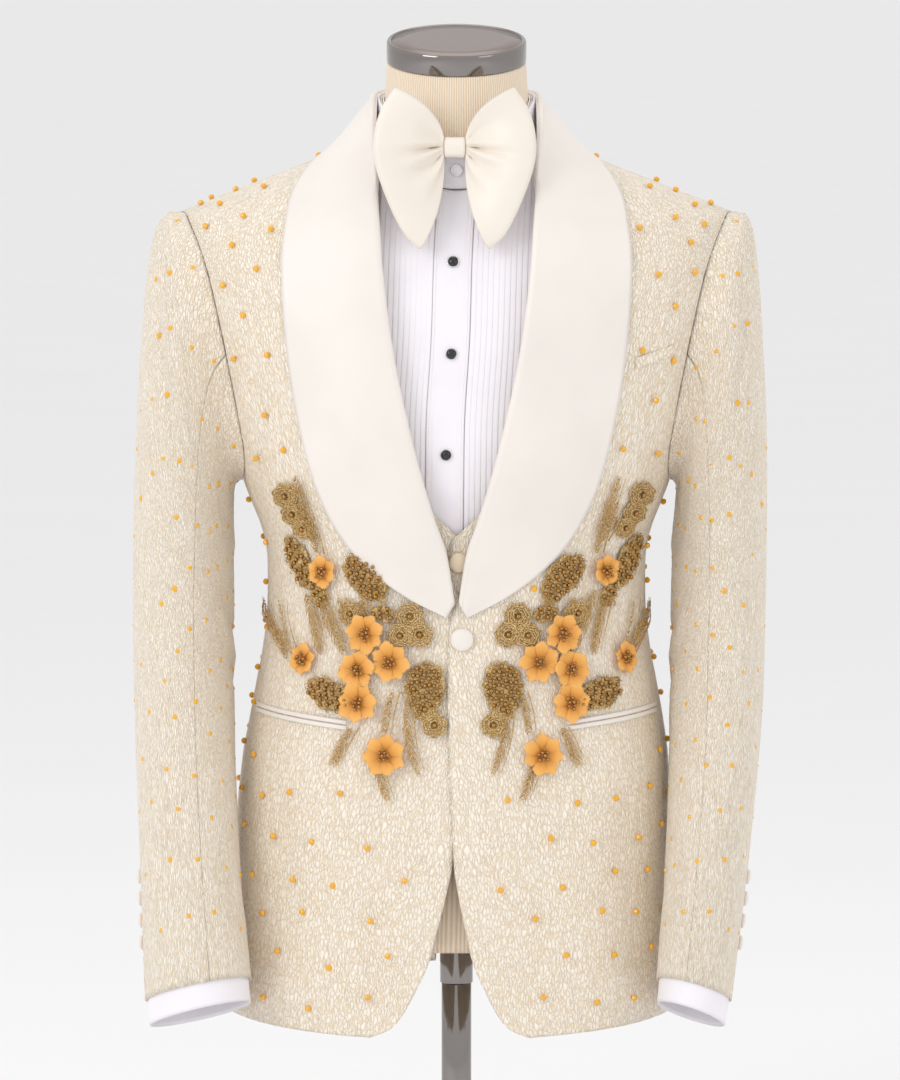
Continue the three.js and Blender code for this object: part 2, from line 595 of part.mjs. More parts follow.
// Thin pieces laid on the front: a frame round a slit, as jets are sewn round a pocket's mouth.
const JET = { height: 3.6, slit: 0.9, wall: 1.1, steps: 5 };
const POCKET = { innerX: 92, innerZ: 455.5, outerX: 163.5, outerZ: 462.5 };
for (const { name, side } of SIDES) {
  const point = (t, up, out) => {
    const [x, z] = [mix(POCKET.innerX, POCKET.outerX, t), mix(POCKET.innerZ, POCKET.outerZ, t)];
    return onFront(side, x, z + up, out);
  };
  const loop = (up, end, out) => {
    const points = [];
    for (let k = 0; k <= JET.steps; k++) points.push(point(mix(-end, 1 + end, k / JET.steps), up, out));
    for (let k = JET.steps; k >= 0; k--) points.push(point(mix(-end, 1 + end, k / JET.steps), -up, out));
    return points;
  };
  const face = (out) => [loop(JET.slit / 2 + JET.height, 0.03, out), loop(JET.slit / 2, 0, out)];
  const base = LAID + 0.7;
  add(`pocket_jets_${name}`, wall(face(base + JET.wall), face(base), true), SATIN);
}

// A strip on the front between two ends, as the welt of the breast pocket.
const WELT = { innerX: 146, innerZ: 748, outerX: 178, outerZ: 757, height: 9, wall: 1.2 };
{
  const face = (out) =>
    gridOf(1, 4, (v, w) => {
      const [x, z] = [mix(WELT.innerX, WELT.outerX, w), mix(WELT.innerZ, WELT.outerZ, w)];
      return onFront(1, x, z + WELT.height * v, out);
    });
  add("breast_welt", wall(face(LAID + 0.4 + WELT.wall), face(LAID + 0.4)), CLOQUE);
}

// A covered or moulded button: a low dome turned about the normal of what it is sewn to.
const BUTTON_PROFILE = [
  { out: 0, across: 0.82 },
  { out: 0.45, across: 1 },
  { out: 1, across: 0.6 },
];
function button(at, normal, diameter, height, sides = 12) {
  const u = vec(0, 0, 1).cross(normal).normalize();
  if (u.length() < 0.5) u.set(1, 0, 0);
  const v = normal.clone().cross(u).normalize();
  return loft(
    BUTTON_PROFILE.map(({ out, across }) =>
      Array.from({ length: sides }, (_, k) => {
        const turn = (k / sides) * 2 * PI;
        const radius = (diameter / 2) * across;
        return at
          .clone()
          .addScaledVector(normal, out * height)
          .addScaledVector(u, radius * cos(turn))
          .addScaledVector(v, radius * sin(turn));
      }),
    ),
  );
}
function frontButton(side, x, z, out, diameter, height, inset = 0) {
  const place = placeAt(x, z);
  const [low, high] = [lifted(side, place, out, inset), lifted(side, place, out + 1, inset)];
  return button(low, high.sub(low).normalize(), diameter, height);
}
add("jacket_button", frontButton(1, 4.4, 527, LAID, 19, 5.5), SATIN);

// Four small buttons behind the outer edge of each sleeve, above its hem.
const CUFF_BUTTONS = { turn: -14, first: 0.885, step: 0.02, count: 4, diameter: 12.5, height: 4.2 };
for (const { name, side } of SIDES)
  for (let k = 0; k < CUFF_BUTTONS.count; k++) {
    const t = CUFF_BUTTONS.first + k * CUFF_BUTTONS.step;
    const at = (dt, turn) => sleeveRing(side, t + dt, [turn])[0];
    const here = at(0, CUFF_BUTTONS.turn);
    const around = at(0, CUFF_BUTTONS.turn + 4).sub(at(0, CUFF_BUTTONS.turn - 4));
    const down = at(0.01, CUFF_BUTTONS.turn).sub(at(-0.01, CUFF_BUTTONS.turn));
    const normal = around.cross(down).normalize();
    if (normal.x * side < 0) normal.negate();
    const foot = here.addScaledVector(normal, 0.4);
    const { diameter, height } = CUFF_BUTTONS;
    add(`sleeve_button_${name}_${k + 1}`, button(foot, normal, diameter, height, 8), SATIN);
  }

// The waistcoat: two fronts that lap at the middle, and a back.
const VEST_ROWS = [
  { x: -7, z: 478, side: 468 },
  { x: -7, z: 540, side: 520 },
  { x: -6, z: 600, side: 565 },
  { x: 5, z: 616, side: 605 },
  { x: 22, z: 634, turn: 180 },
  { x: 38, z: 680, turn: 140 },
  { x: 54, z: 735, turn: 105 },
  { x: 66, z: 800, turn: 75 },
  { x: 74, z: 850, turn: 50 },
  { x: 79, z: 889, turn: 32 },
  { x: 81, z: 908, turn: 20 },
  { x: 81.5, z: 921, turn: 10 },
  { x: 82, z: 940, turn: 0 },
];
const VEST_BACK_ROWS = [
  { side: 468, z: 470 },
  { side: 520, z: 525 },
  { side: 565, z: 585 },
  { side: 600, z: 635 },
  { side: 633, z: 680 },
  { turn: 200, z: 730 },
  { turn: 220, z: 765 },
  { turn: 240, z: 800 },
  { turn: 275, z: 840 },
  { turn: 305, z: 868 },
  { turn: 332, z: 890 },
  { turn: 360, y: 69 },
];
const VEST_WIDER = 5;
const INNER_SEAM = 90;
const widerEdge = (rows, v, gap) => {
  const { a, b, t } = rowAt(rows, v);
  const place = (row) => {
    if (row.turn === undefined) return { angle: INNER_SEAM, level: row.side };
    const { angle, level } = armhole(row.turn, VEST_WIDER);
    return { angle: row.turn % 360 === 0 ? 90 + sign(row.turn - 180) * 22 : angle, level };
  };
  const [low, high] = [place(a), place(b)];
  return { angle: mix(low.angle, high.angle, t) + gap, level: mix(low.level, high.level, t) };
};
for (const { name, side } of SIDES) {
  const start = (v) => {
    const { a, b, t } = rowAt(VEST_ROWS, v);
    const [low, high] = [placeAt(a.x, a.z), placeAt(b.x, b.z)];
    return { angle: mix(low.angle, high.angle, t), level: mix(low.level, high.level, t) };
  };
  const end = (v) => widerEdge(VEST_ROWS, v, -SEAM_ANGLE);
  const edges = { start, end, foot: straight(start(0), end(0)), head: straight(start(1), end(1)) };
  const under = side < 0 ? VEST_UNDERLAP : 0;
  const overlap = ({ angle }) => under * (1 - ease((angle - 14) / 10));
  add(`waistcoat_front_${name}`, panel(side, edges, VEST_ROWS.length - 1, 6, VEST, overlap), CLOQUE);
}
{
  const sideAt = (v) => widerEdge(VEST_BACK_ROWS, v, SEAM_ANGLE);
  const mirrored = (p) => ({ angle: 360 - p.angle, level: p.level });
  const neck = { angle: placeAt(82, 936, true).angle, level: RIDGE_LEVEL };
  const share = 0.26;
  const head = (w) => {
    if (w > 0.5) return mirrored(head(1 - w));
    if (w <= share) return straight(sideAt(1), neck)(w / share);
    const around = ((w - share) / (0.5 - share)) * (PI / 2);
    return placeOnTop(max(0.1, 82 * cos(around)), RIDGE_Y + SEAM / 2 + (69 - RIDGE_Y) * sin(around));
  };
  const back = {
    start: sideAt,
    end: (v) => mirrored(sideAt(v)),
    foot: straight(sideAt(0), mirrored(sideAt(0))),
    head,
  };
  add("waistcoat_back", panel(1, back, VEST_BACK_ROWS.length - 1, 12, VEST), CLOQUE);
}
add("waistcoat_button", frontButton(1, 2, 590, LAID + 0.3, 16.6, 3.2, VEST.inset), CLOQUE);

// The shirt: a bib of pin tucks on each side of a placket, plain fronts beside them, and a back.
const COLLAR_RING = { across: 61.8, front: 64.5, back: 64, wall: 1 };
const BAND_OUT = 1.9; // the bow tie's band, outside the collar's stand
const FALL_OUT = 3.6; // the collar's fall, outside that
const SHIRT_HEM = 440;
// Shares of the way up from the shirt's hem to its neck, with the turn of the armhole beside them.
const SHIRT_ROWS = [
  { share: 0, side: 440 },
  { share: 0.22, side: 540 },
  { share: 0.42, side: 610 },
  { share: 0.56, turn: 180 },
  { share: 0.7, turn: 130 },
  { share: 0.82, turn: 85 },
  { share: 0.92, turn: 38 },
  { share: 1, turn: 0 },
];
const SHIRT_BACK = [
  { side: 440, z: 440 },
  { side: 540, z: 540 },
  { side: 610, z: 630 },
  { turn: 180, z: 700 },
  { turn: 215, z: 750 },
  { turn: 245, z: 800 },
  { turn: 275, z: 840 },
  { turn: 305, z: 868 },
  { turn: 332, z: 888 },
  { turn: 360, y: 64 },
];
// The placket's middle wanders a little to one side on its way down.
const PLACKET_LINE = [
  { level: 440, x: -10 },
  { level: 680, x: -9.5 },
  { level: 740, x: -5 },
  { level: 795, x: -3 },
  { level: 850, x: 0 },
];
const placketX = (level) => along(PLACKET_LINE, "level", "x", level);
const neckTop = (x) => {
  const reach = COLLAR_RING.across + 3;
  if (abs(x) >= reach) return RIDGE_LEVEL;
  const y = NECK_Y - (COLLAR_RING.front + 3) * Math.sqrt(1 - (x / reach) ** 2);
  return placeOnTop(abs(x), y, SHIRT.inset).level;
};
const NECK_SIDE = 70;
const angleAt = (x, level) => {
  const share = min(1, abs(x) / (along(BODY, "level", "half", level) - SHIRT.inset));
  return (asin(share ** (along(BODY, "level", "power", level) / 2)) / DEGREES) * (sign(x) || 1);
};
// A place on the shirt's front by its offset from the placket's middle and its share of the way up.
function shirtFront(offset, share) {
  const top = neckTop(offset * 1.02);
  const level = mix(SHIRT_HEM, top, share);
  return { angle: angleAt(offset + placketX(level), level), level };
}
const pleatsOf = (side) => (side > 0 ? BIB.leftPleats : BIB.rightPleats);
const bibEdge = (side) => PLACKET.half + SEAM + BIB.pitch * pleatsOf(side) + 1;
for (const { name, side } of SIDES) {
  const pleats = pleatsOf(side);
  const face = (inset, raised) =>
    SHIRT_ROWS.map(({ share }) =>
      Array.from({ length: 2 * pleats + 1 }, (_, k) => {
        const pleat = floor(k / 2) + (k % 2) * 0.84;
        const offset = k === 2 * pleats ? bibEdge(side) : PLACKET.half + SEAM + BIB.pitch * pleat;
        const place = shirtFront(side * offset, share);
        return body(1, place.angle, place.level, inset - (raised && k % 2 ? BIB.pleat : 0));
      }),
    );
  const { inset, wall: thick } = SHIRT;
  add(`shirt_bib_${name}`, wall(face(inset, true), face(inset + thick, false)), COTTON);

  const start = (v) => {
    const { a, b, t } = rowAt(SHIRT_ROWS, v);
    const place = shirtFront(side * (bibEdge(side) + SEAM), mix(a.share, b.share, t));
    return { angle: side * place.angle, level: place.level };
  };
  const end = (v) => sideEdge(SHIRT_ROWS, INNER_SEAM, -SEAM_ANGLE, v);
  const edges = { start, end, foot: straight(start(0), end(0)), head: straight(start(1), end(1)) };
  add(`shirt_front_${name}`, panel(side, edges, SHIRT_ROWS.length - 1, 5, SHIRT), COTTON);
}
{
  const sideAt = (v) => sideEdge(SHIRT_BACK, INNER_SEAM, SEAM_ANGLE, v);
  const mirrored = (p) => ({ angle: 360 - p.angle, level: p.level });
  const neck = { angle: placeAt(NECK_SIDE, 936, true).angle, level: RIDGE_LEVEL };
  const share = 0.26;
  const head = (w) => {
    if (w > 0.5) return mirrored(head(1 - w));
    if (w <= share) return straight(sideAt(1), neck)(w / share);
    const around = ((w - share) / (0.5 - share)) * (PI / 2);
    const x = max(0.1, NECK_SIDE * cos(around));
    return placeOnTop(x, RIDGE_Y + SEAM / 2 + (64 - RIDGE_Y) * sin(around), SHIRT.inset);
  };
  const foot = straight(sideAt(0), mirrored(sideAt(0)));
  const back = { start: sideAt, end: (v) => mirrored(sideAt(v)), foot, head };
  add("shirt_back", panel(1, back, SHIRT_BACK.length - 1, 12, { ...SHIRT, inset: SHIRT.inset + 0.6 }), COTTON);
}
{
  const face = (inset) =>
    SHIRT_ROWS.map(({ share }) =>
      [-1, 0, 1].map((k) => {
        const place = shirtFront(k * PLACKET.half, share);
        return body(1, place.angle, place.level, inset);
      }),
    );
  add("shirt_placket", wall(face(PLACKET.inset), face(PLACKET.inset + PLACKET.wall)), COTTON);
}
const STUDS = [
  { x: -3, z: 843.5 },
  { x: -4.6, z: 766 },
  { x: -9.3, z: 680 },
];
STUDS.forEach(({ x, z }, k) =>
  add(`stud_${k + 1}`, frontButton(1, x, z, 0.1, 10, 3.4, PLACKET.inset), ONYX),
);

// A band round the neck between two heights, each given by shares of the collar's stand.
function neckPoint(turn, up, out) {
  const [c, s] = [cos(turn * DEGREES), sin(turn * DEGREES)];
  const low = c > 0 ? 925 - 31.5 * c ** 1.6 : 925 - 8 * -c;
  const high = c > 0 ? 966 - 36 * c ** 1.3 : 966 + 5 * -c;
  const taper = up * 1.6;
  const reach = c > 0 ? COLLAR_RING.front : COLLAR_RING.back;
  return vec(
    (COLLAR_RING.across - taper + out) * s,
    NECK_Y - (reach - taper + out) * c,
    mix(low, high, up),
  );
}
function neckBand(from, to, columns, rows, up, out, thickness) {
  const face = (extra) =>
    gridOf(rows, columns, (v, w) => {
      const turn = mix(from, to, w);
      return neckPoint(turn, up(v, turn), out(v, turn) + extra);
    });
  return wall(face(thickness), face(0));
}
add("shirt_collar_stand", neckBand(-179.7, 179.7, 22, 1, (v) => v, () => 0, COLLAR_RING.wall), COTTON);
const fallDrop = (turn) => (abs(180 - turn) > 110 ? 0.35 * ease((abs(180 - turn) - 110) / 55) : 0);
add(
  "shirt_collar_fall",
  neckBand(
    14,
    346,
    20,
    1,
    (v, turn) => mix(1.03, 0.3 - fallDrop(turn), v),
    (v, turn) => FALL_OUT + v * (0.3 + 9 * fallDrop(turn)),
    COLLAR_RING.wall,
  ),
  COTTON,
);
{
  const at = neckPoint(0, 0.42, COLLAR_RING.wall + 0.4);
  add("collar_button", button(at, vec(0, -1, 0), 10.5, 2.4, 12), COTTON);
}

// The shirt's sleeves hang inside the jacket's, and end in cuffs that show below them.
const SHIRT_SLEEVE = { inset: 8, wall: 1, shares: [0, 0.04, 0.1, 0.255, 0.44, 0.65, 0.91] };
const CUFF = { inset: 2.5, wall: 1.6, shares: [0.93, 1, 1.03] };
const ROUND = [...TOP_SLEEVE.slice(0, -1), ...UNDER_SLEEVE.slice(0, -1)];
const INNER_ROUND = ROUND.filter((_, i) => i % 2 === 0);
for (const { name, side } of SIDES) {
  const tube = ({ inset, wall: thick, shares }, turns) => {
    const rings = (extra) => shares.map((t) => sleeveRing(side, t, turns, inset + extra));
    return wall(rings(0), rings(thick), true);
  };
  add(`shirt_sleeve_${name}`, tube(SHIRT_SLEEVE, INNER_ROUND), COTTON);
  add(`shirt_cuff_${name}`, tube(CUFF, ROUND), COTTON);
}

// The bow tie: each wing is a loop, open above and below, from the knot round its outer fold and back.
const WING = [
  { up: 0, knotZ: 919, foldX: 27, foldZ: 847, bendX: 7, bendZ: 880, y: -111, thick: 5 },
  { up: 0.12, knotZ: 921, foldX: 39, foldZ: 858, bendX: 15, bendZ: 888, y: -109, thick: 7 },
  { up: 0.3, knotZ: 924, foldX: 52, foldZ: 883, bendX: 25, bendZ: 903, y: -104, thick: 10 },
  { up: 0.5, knotZ: 928, foldX: 63, foldZ: 915, bendX: 33, bendZ: 921, y: -98, thick: 12 },
  { up: 0.7, knotZ: 931, foldX: 64, foldZ: 938, bendX: 34, bendZ: 937, y: -94, thick: 11 },
  { up: 0.88, knotZ: 934, foldX: 58, foldZ: 960, bendX: 26, bendZ: 952, y: -91, thick: 8 },
  { up: 1, knotZ: 936, foldX: 47, foldZ: 977, bendX: 13, bendZ: 962, y: -90, thick: 6 },
];
const KNOT = { x: -1.5, z: 928, half: 10.5, high: 8.6, y: -79.1, deep: 6.4 };
const WING_WALL = 1.4;
const PUFF = 5;
for (const { name, side } of SIDES) {
  const rows = 7;
  const columns = { front: 6, fold: 2, back: 3 };
  const wingPoint = (up, across, layer) => {
    const at = (key) => along(WING, "up", key, up);
    const from = KNOT.half - 1.4;
    const x = (1 - across) ** 2 * from + 2 * across * (1 - across) * at("bendX") + across ** 2 * at("foldX");
    const z = (1 - across) ** 2 * at("knotZ") + 2 * across * (1 - across) * at("bendZ") + across ** 2 * at("foldZ");
    const fan = sin(up * PI * 5) * 1.3 * (1 - across) * min(1, across * 4);
    const apart = (at("thick") / 2) * min(1, 0.3 + 1.4 * across) + PUFF * sin(PI * across) * 0.5;
    const y = mix(KNOT.y - 1, at("y"), ease(across)) - layer * (apart + fan);
    return vec(KNOT.x + side * x, y, z);
  };
  const grid = gridOf(rows, columns.front + columns.fold + columns.back, (up, w) => {
    const k = Math.round(w * (columns.front + columns.fold + columns.back));
    if (k <= columns.front) return wingPoint(up, (k / columns.front) * 0.96, 1);
    const turn = (k - columns.front) / columns.fold;
    if (turn < 1) {
      const p = wingPoint(up, 1, 1 - 2 * turn);
      return p.add(vec(side * 1.5 * sin(PI * turn), 0, 0));
    }
    return wingPoint(up, 0.96 * (1 - (k - columns.front - columns.fold) / columns.back), -1);
  });
  add(`bow_wing_${name}`, thickened(grid, WING_WALL), SATIN);
}
{
  const shares = [-1, -0.8, 0, 0.8, 1];
  const rings = shares.map((t) => {
    const narrow = t === 0 ? 1.06 : abs(t) === 1 ? 0.72 : 1;
    return Array.from({ length: 12 }, (_, k) => {
      const turn = (k / 12) * 2 * PI;
      return vec(
        KNOT.x + t * (KNOT.half - 1.9),
        KNOT.y - KNOT.deep * narrow * cos(turn),
        KNOT.z + KNOT.high * narrow * sin(turn),
      );
    });
  });
  add("bow_knot", loft(rings), SATIN);
}
add("bow_band", neckBand(-179.7, 179.7, 22, 1, (v) => mix(0.76, 1, v), () => BAND_OUT, 0.8), SATIN);

// The dress form: a whole smooth torso with its neck, and the cap, collar, pole and base it stands on.
const FORM_LEVELS = [264, 266, 272, 400, 480, 560, 640, 740, 830, 890, 930, 950];
const NECK = [
  { z: 850, across: 66, y: -2, deep: 66, pitch: 0 },
  { z: 930, across: 60.6, y: -6, deep: 61.5, pitch: 3 },
  { z: 960, across: 59.6, y: -6, deep: 60, pitch: 7 },
  { z: 996, across: 57.5, y: -6, deep: 57.5, pitch: 11.6 },
];
const CAP = { z: 996.4, y: -6, across: 57.9, high: 18, pitch: 11.6 };
const ringOf = (count, point) => Array.from({ length: count }, (_, k) => point((k / count) * 2 * PI));
const pitched = (y, z, dx, dy, dz, pitch) => {
  const [c, s] = [cos(pitch * DEGREES), sin(pitch * DEGREES)];
  return vec(dx, y + dy * c - dz * s, z + dy * s + dz * c);
};
{
  const torso = loft(
    FORM_LEVELS.map((level, i) => {
      const rounding = [9, 3.5, 0][i] ?? 0;
      return ringOf(20, (turn) => {
        const angle = turn / DEGREES > 180 ? turn / DEGREES - 360 : turn / DEGREES;
        return body(1, angle || 0.001, min(level, RIDGE_LEVEL - 0.5), FORM_INSET + rounding);
      });
    }),
  );
  const neck = loft(
    NECK.map(({ z, across, y, deep, pitch }) =>
      ringOf(24, (turn) => pitched(y, z, across * sin(turn), -deep * cos(turn), 0, pitch)),
    ),
  );
  add("form_torso", joined([torso, neck]), JERSEY);
}
const CAP_PROFILE = [
  { up: 0, inset: 0.6 },
  { up: 0.05, inset: 0 },
  { up: 0.86, inset: 0 },
  { up: 0.97, inset: 1 },
  { up: 1, inset: 3.2 },
];
add(
  "neck_cap",
  loft(
    CAP_PROFILE.map(({ up, inset }) =>
      ringOf(24, (turn) => {
        const reach = CAP.across - inset;
        return pitched(CAP.y, CAP.z, reach * sin(turn), -reach * cos(turn), up * CAP.high, CAP.pitch);
      }),
    ),
  ),
  CHROME,
);
const turned = (profile, count) =>
  loft(profile.map(({ z, radius }) => ringOf(count, (turn) => vec(radius * sin(turn), -radius * cos(turn), z))));
add("pole_collar", turned([{ z: 224, radius: 13.4 }, { z: 225, radius: 13.8 }, { z: 262, radius: 13.8 }, { z: 263.6, radius: 13.6 }], 14), CHROME);
add("pole", turned([{ z: 20.4, radius: 12.5 }, { z: 223.6, radius: 12.5 }], 16), CHROME);
const BASE = [
  { z: 0, radius: 153.5 },
  { z: 1.5, radius: 155 },
  { z: 7, radius: 155 },
  { z: 9.5, radius: 152 },
  { z: 12, radius: 60 },
  { z: 20, radius: 19 },
];
add("base", turned(BASE, 24), CHROME);

// The sprays of flowers and leaves, raised on the fronts: places across from the middle and up.
const FLOWERS = [
  { x: 114, z: 581, across: 26, petals: 6, tilt: 0.4 },
  { x: 80, z: 531, across: 33, petals: 8, tilt: 0 },
  { x: 60.5, z: 508, across: 34, petals: 7, tilt: 0.2 },
  { x: 86.5, z: 501, across: 32, petals: 8, tilt: -0.2 },
  { x: 130, z: 507, across: 25, petals: 6, tilt: 0.7 },
  { x: 86.5, z: 474, across: 34, petals: 7, tilt: 0.1 },
  { x: 64.5, z: 432, across: 35, petals: 8, tilt: -0.1 },
];
const LEAVES = [
  { x: 119, z: 617, long: 62, wide: 13, lean: 97 },
  { x: 111, z: 598, long: 44, wide: 16, lean: 78 },
  { x: 97, z: 556, long: 62, wide: 15, lean: 56 },
  { x: 121, z: 544, long: 62, wide: 15, lean: 110 },
  { x: 108, z: 504, long: 50, wide: 15, lean: 5 },
  { x: 49, z: 530, long: 46, wide: 15, lean: 10 },
  { x: 40, z: 490, long: 54, wide: 24, lean: 18 },
  { x: 106, z: 483, long: 46, wide: 18, lean: 150 },
  { x: 75, z: 453, long: 50, wide: 14, lean: 62 },
];
const SPRAY_BASE = 2.1;
// A closed leaf or flower on the front, from the middle outwards in rings, following the cloth.
function patch(side, { x, z }, sides, rings) {
  const place = ({ reach, out }) =>
    Array.from({ length: sides }, (_, k) => {
      const { dx, dz } = reach((k / sides) * 2 * PI);
      return onFront(side, x + dx, z + dz, out);
    });
  return loft(rings.map(place), [
    onFront(side, x, z, rings[0].out),
    onFront(side, x, z, rings.at(-1).out),
  ]);
}
function leaf(side, { x, z, long, wide, lean }) {
  const [c, s] = [cos(lean * DEGREES), sin(lean * DEGREES)];
  const outline = (share) => (turn) => {
    const [a, b] = [(long / 2) * share * cos(turn), (wide / 2) * share * sin(turn)];
    return { dx: a * c - b * s, dz: a * s + b * c };
  };
  return patch(side, { x, z }, 8, [
    { reach: outline(1), out: SPRAY_BASE },
    { reach: outline(0.8), out: SPRAY_BASE + 2 },
  ]);
}
function flower(side, { x, z, across, petals, tilt }) {
  const outline = (share, depth) => (turn) => {
    const radius = (across / 2) * share * (1 - depth + depth * cos((turn + tilt) * petals));
    return { dx: radius * cos(turn), dz: radius * sin(turn) };
  };
  return patch(side, { x, z }, petals * 2, [
    { reach: outline(0.72, 0), out: SPRAY_BASE },
    { reach: outline(1, 0.14), out: SPRAY_BASE + 4.2 },
  ]);
}
for (const { name, side } of SIDES) {
  const pieces = [...LEAVES.map((each) => leaf(side, each)), ...FLOWERS.map((each) => flower(side, each))];
  add(`flower_spray_${name}`, joined(pieces), GOLD);
}

export default model;
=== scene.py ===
"""The looks of a tuxedo on a dress form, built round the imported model.

Sizes are in millimetres in the model's own frame, and become metres where a mesh is made. The cloth
is a thin shell on the form of its solid, with the same body, sleeve and lapel sections.
"""
import math

import bpy
import numpy as np
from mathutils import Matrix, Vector


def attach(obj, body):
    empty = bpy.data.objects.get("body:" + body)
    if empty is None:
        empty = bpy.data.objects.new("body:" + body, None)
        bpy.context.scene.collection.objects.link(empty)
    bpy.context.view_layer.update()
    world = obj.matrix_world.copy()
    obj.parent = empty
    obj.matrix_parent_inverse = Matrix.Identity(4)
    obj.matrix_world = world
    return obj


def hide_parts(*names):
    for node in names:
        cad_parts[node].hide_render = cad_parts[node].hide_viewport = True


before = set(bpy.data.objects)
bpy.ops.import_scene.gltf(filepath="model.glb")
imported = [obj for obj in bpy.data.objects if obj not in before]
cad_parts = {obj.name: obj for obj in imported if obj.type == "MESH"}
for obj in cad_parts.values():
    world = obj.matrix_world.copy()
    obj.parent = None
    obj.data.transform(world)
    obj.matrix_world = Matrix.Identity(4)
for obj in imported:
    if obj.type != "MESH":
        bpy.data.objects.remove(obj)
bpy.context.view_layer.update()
MM = 0.001
SIDES = (("left", 1), ("right", -1))


def table(columns, *rows):
    """Named columns of numbers from rows."""
    return {name: np.array([row[i] for row in rows], float) for i, name in enumerate(columns.split())}


# The body's sections, the armhole and the cut edges, as the solids have them.
ARMPIT, RIDGE_LEVEL, RIDGE_Y = 650, 950, 8
NECK_POINT_X, NECK_POINT_Z, SHOULDER_SLOPE = 62, 936, 0.39
FRONT_POWER, BACK_POWER, NECK_Y, SEAM = 3.0, 3.2, -6, 0.3
BODY = table(
    "level half front back lean power",
    (195, 190, 131, 127, -6, 2.4),
    (300, 186, 131, 129, -4, 2.4),
    (412, 178.5, 128, 122, -1, 2.4),
    (459, 171, 125, 112, 0, 2.4),
    (520, 160, 120, 102, 0, 2.4),
    (560, 157.5, 119, 99, 0, 2.4),
    (600, 160, 121, 103, 0, 2.4),
    (650, 178, 129, 114, 0, 2.4),
    (710, 194, 135, 122, 0, 2.5),
    (770, 208, 137, 126, 0, 2.7),
    (830, 220, 137, 127, 0, 2.9),
    (890, 227, 136, 127, 0, 3.2),
    (950, 228, 136, 127, 0, 3.3),
)
ARMHOLE = table(
    "turn angle level",
    (0, 89, 950),
    (20, 78, 925),
    (45, 71.5, 880),
    (70, 67.5, 825),
    (90, 67.5, 775),
    (110, 68.5, 728),
    (130, 69.5, 690),
    (150, 73, 663),
    (165, 80.5, 651),
    (180, 90, 648),
    (195, 100, 651),
    (210, 108, 663),
    (230, 113, 690),
    (250, 114.5, 728),
    (270, 114.5, 775),
    (290, 113.5, 825),
    (315, 110, 880),
    (340, 103, 925),
    (360, 91, 950),
)
# A cut edge's places, and beside each the side seam's level or the armhole's turn (over TURNS).
TURNS = 10000
FRONT_ROWS = table(
    "x z side",
    (67, 198, 208),
    (54, 202.5, 214),
    (42.5, 212, 222),
    (29.5, 235, 240),
    (18, 261, 264),
    (11, 290, 292),
    (3.5, 324, 325),
    (0.3, 345, 352),
    (-5, 420, 420),
    (-7.5, 480, 480),
    (-5, 540, 540),
    (6, 570, 580),
    (20, 622, 625),
    (33, 665, TURNS + 150),
    (43, 702, TURNS + 125),
    (51, 740, TURNS + 105),
    (58, 785, TURNS + 85),
    (63, 825, TURNS + 62),
    (65.5, 862, TURNS + 42),
    (67, 892, TURNS + 29),
    (70.5, 914, TURNS + 18),
    (72, 925.5, TURNS + 10),
    (72, 930.5, TURNS + 5),
    (72, 936, TURNS),
)
BACK_ROWS = table(
    "x z side",
    (12, 222, 208),
    (7.5, 297, 292),
    (2.5, 360, 352),
    (0.2, 430, 420),
    (0.2, 490, 480),
    (0.2, 545, 540),
    (0.2, 590, 580),
    (0.2, 635, 625),
    (0.2, 690, TURNS + 210),
    (0.2, 750, TURNS + 240),
    (0.2, 805, TURNS + 270),
    (0.2, 850, TURNS + 300),
    (0.2, 877, TURNS + 318),
    (0.2, 897, TURNS + 332),
    (0.2, 912, TURNS + 346),
    (0.2, 924, TURNS + 360),
)
VEST_ROWS = table(
    "x z side",
    (-7, 478, 468),
    (-7, 540, 520),
    (-6, 600, 565),
    (5, 616, 605),
    (22, 634, TURNS + 180),
    (38, 680, TURNS + 140),
    (54, 735, TURNS + 105),
    (66, 800, TURNS + 75),
    (74, 850, TURNS + 50),
    (79, 889, TURNS + 32),
    (81, 908, TURNS + 20),
    (81.5, 921, TURNS + 10),
    (82, 940, TURNS),
)
SIDE_FOOT, FRONT_SEAM, BACK_SEAM, INNER_SEAM, SEAM_ANGLE = 208, 73, 108, 90, 0.06
UNDERLAP, UNDERLAP_INSET, VEST_INSET, VEST_UNDERLAP, VEST_WIDER = 12, 2.4, 5.1, 2.1, 5
LAPEL = table(
    "row rollX rollZ edgeX edgeZ",
    (0, 2.5, 556, 8, 545),
    (1, 10, 601, 43, 563),
    (2, 20, 630, 74, 587),
    (3, 29, 660, 99, 618),
    (4, 37, 690, 116, 656),
    (5, 43, 716, 125.5, 692),
    (6, 50, 748, 134, 735),
    (7, 56, 785, 140, 785),
    (8, 61, 825, 142.6, 832),
    (9, 63.5, 862, 139.5, 865),
    (10, 65, 885, 136, 884),
)
COLLAR = table(
    "row rollX rollY rollZ edgeX edgeY seamX seamY",
    (0, 66, -82, 906, 130, -50, 73, -71),
    (1, 69, -50, 940, 115, -18, 74.5, -40),
    (2, 69.2, -14, 963, 99, 10, 74, -4),
    (3, 67, 20, 969, 83, 39, 69.5, 27),
    (4, 54.5, 50, 970, 60, 65, 54, 49),
    (5, 28, 67.5, 969, 30, 81, 28, 64),
    (6, 0.4, 73, 968, 0.4, 86, 0.4, 68),
)
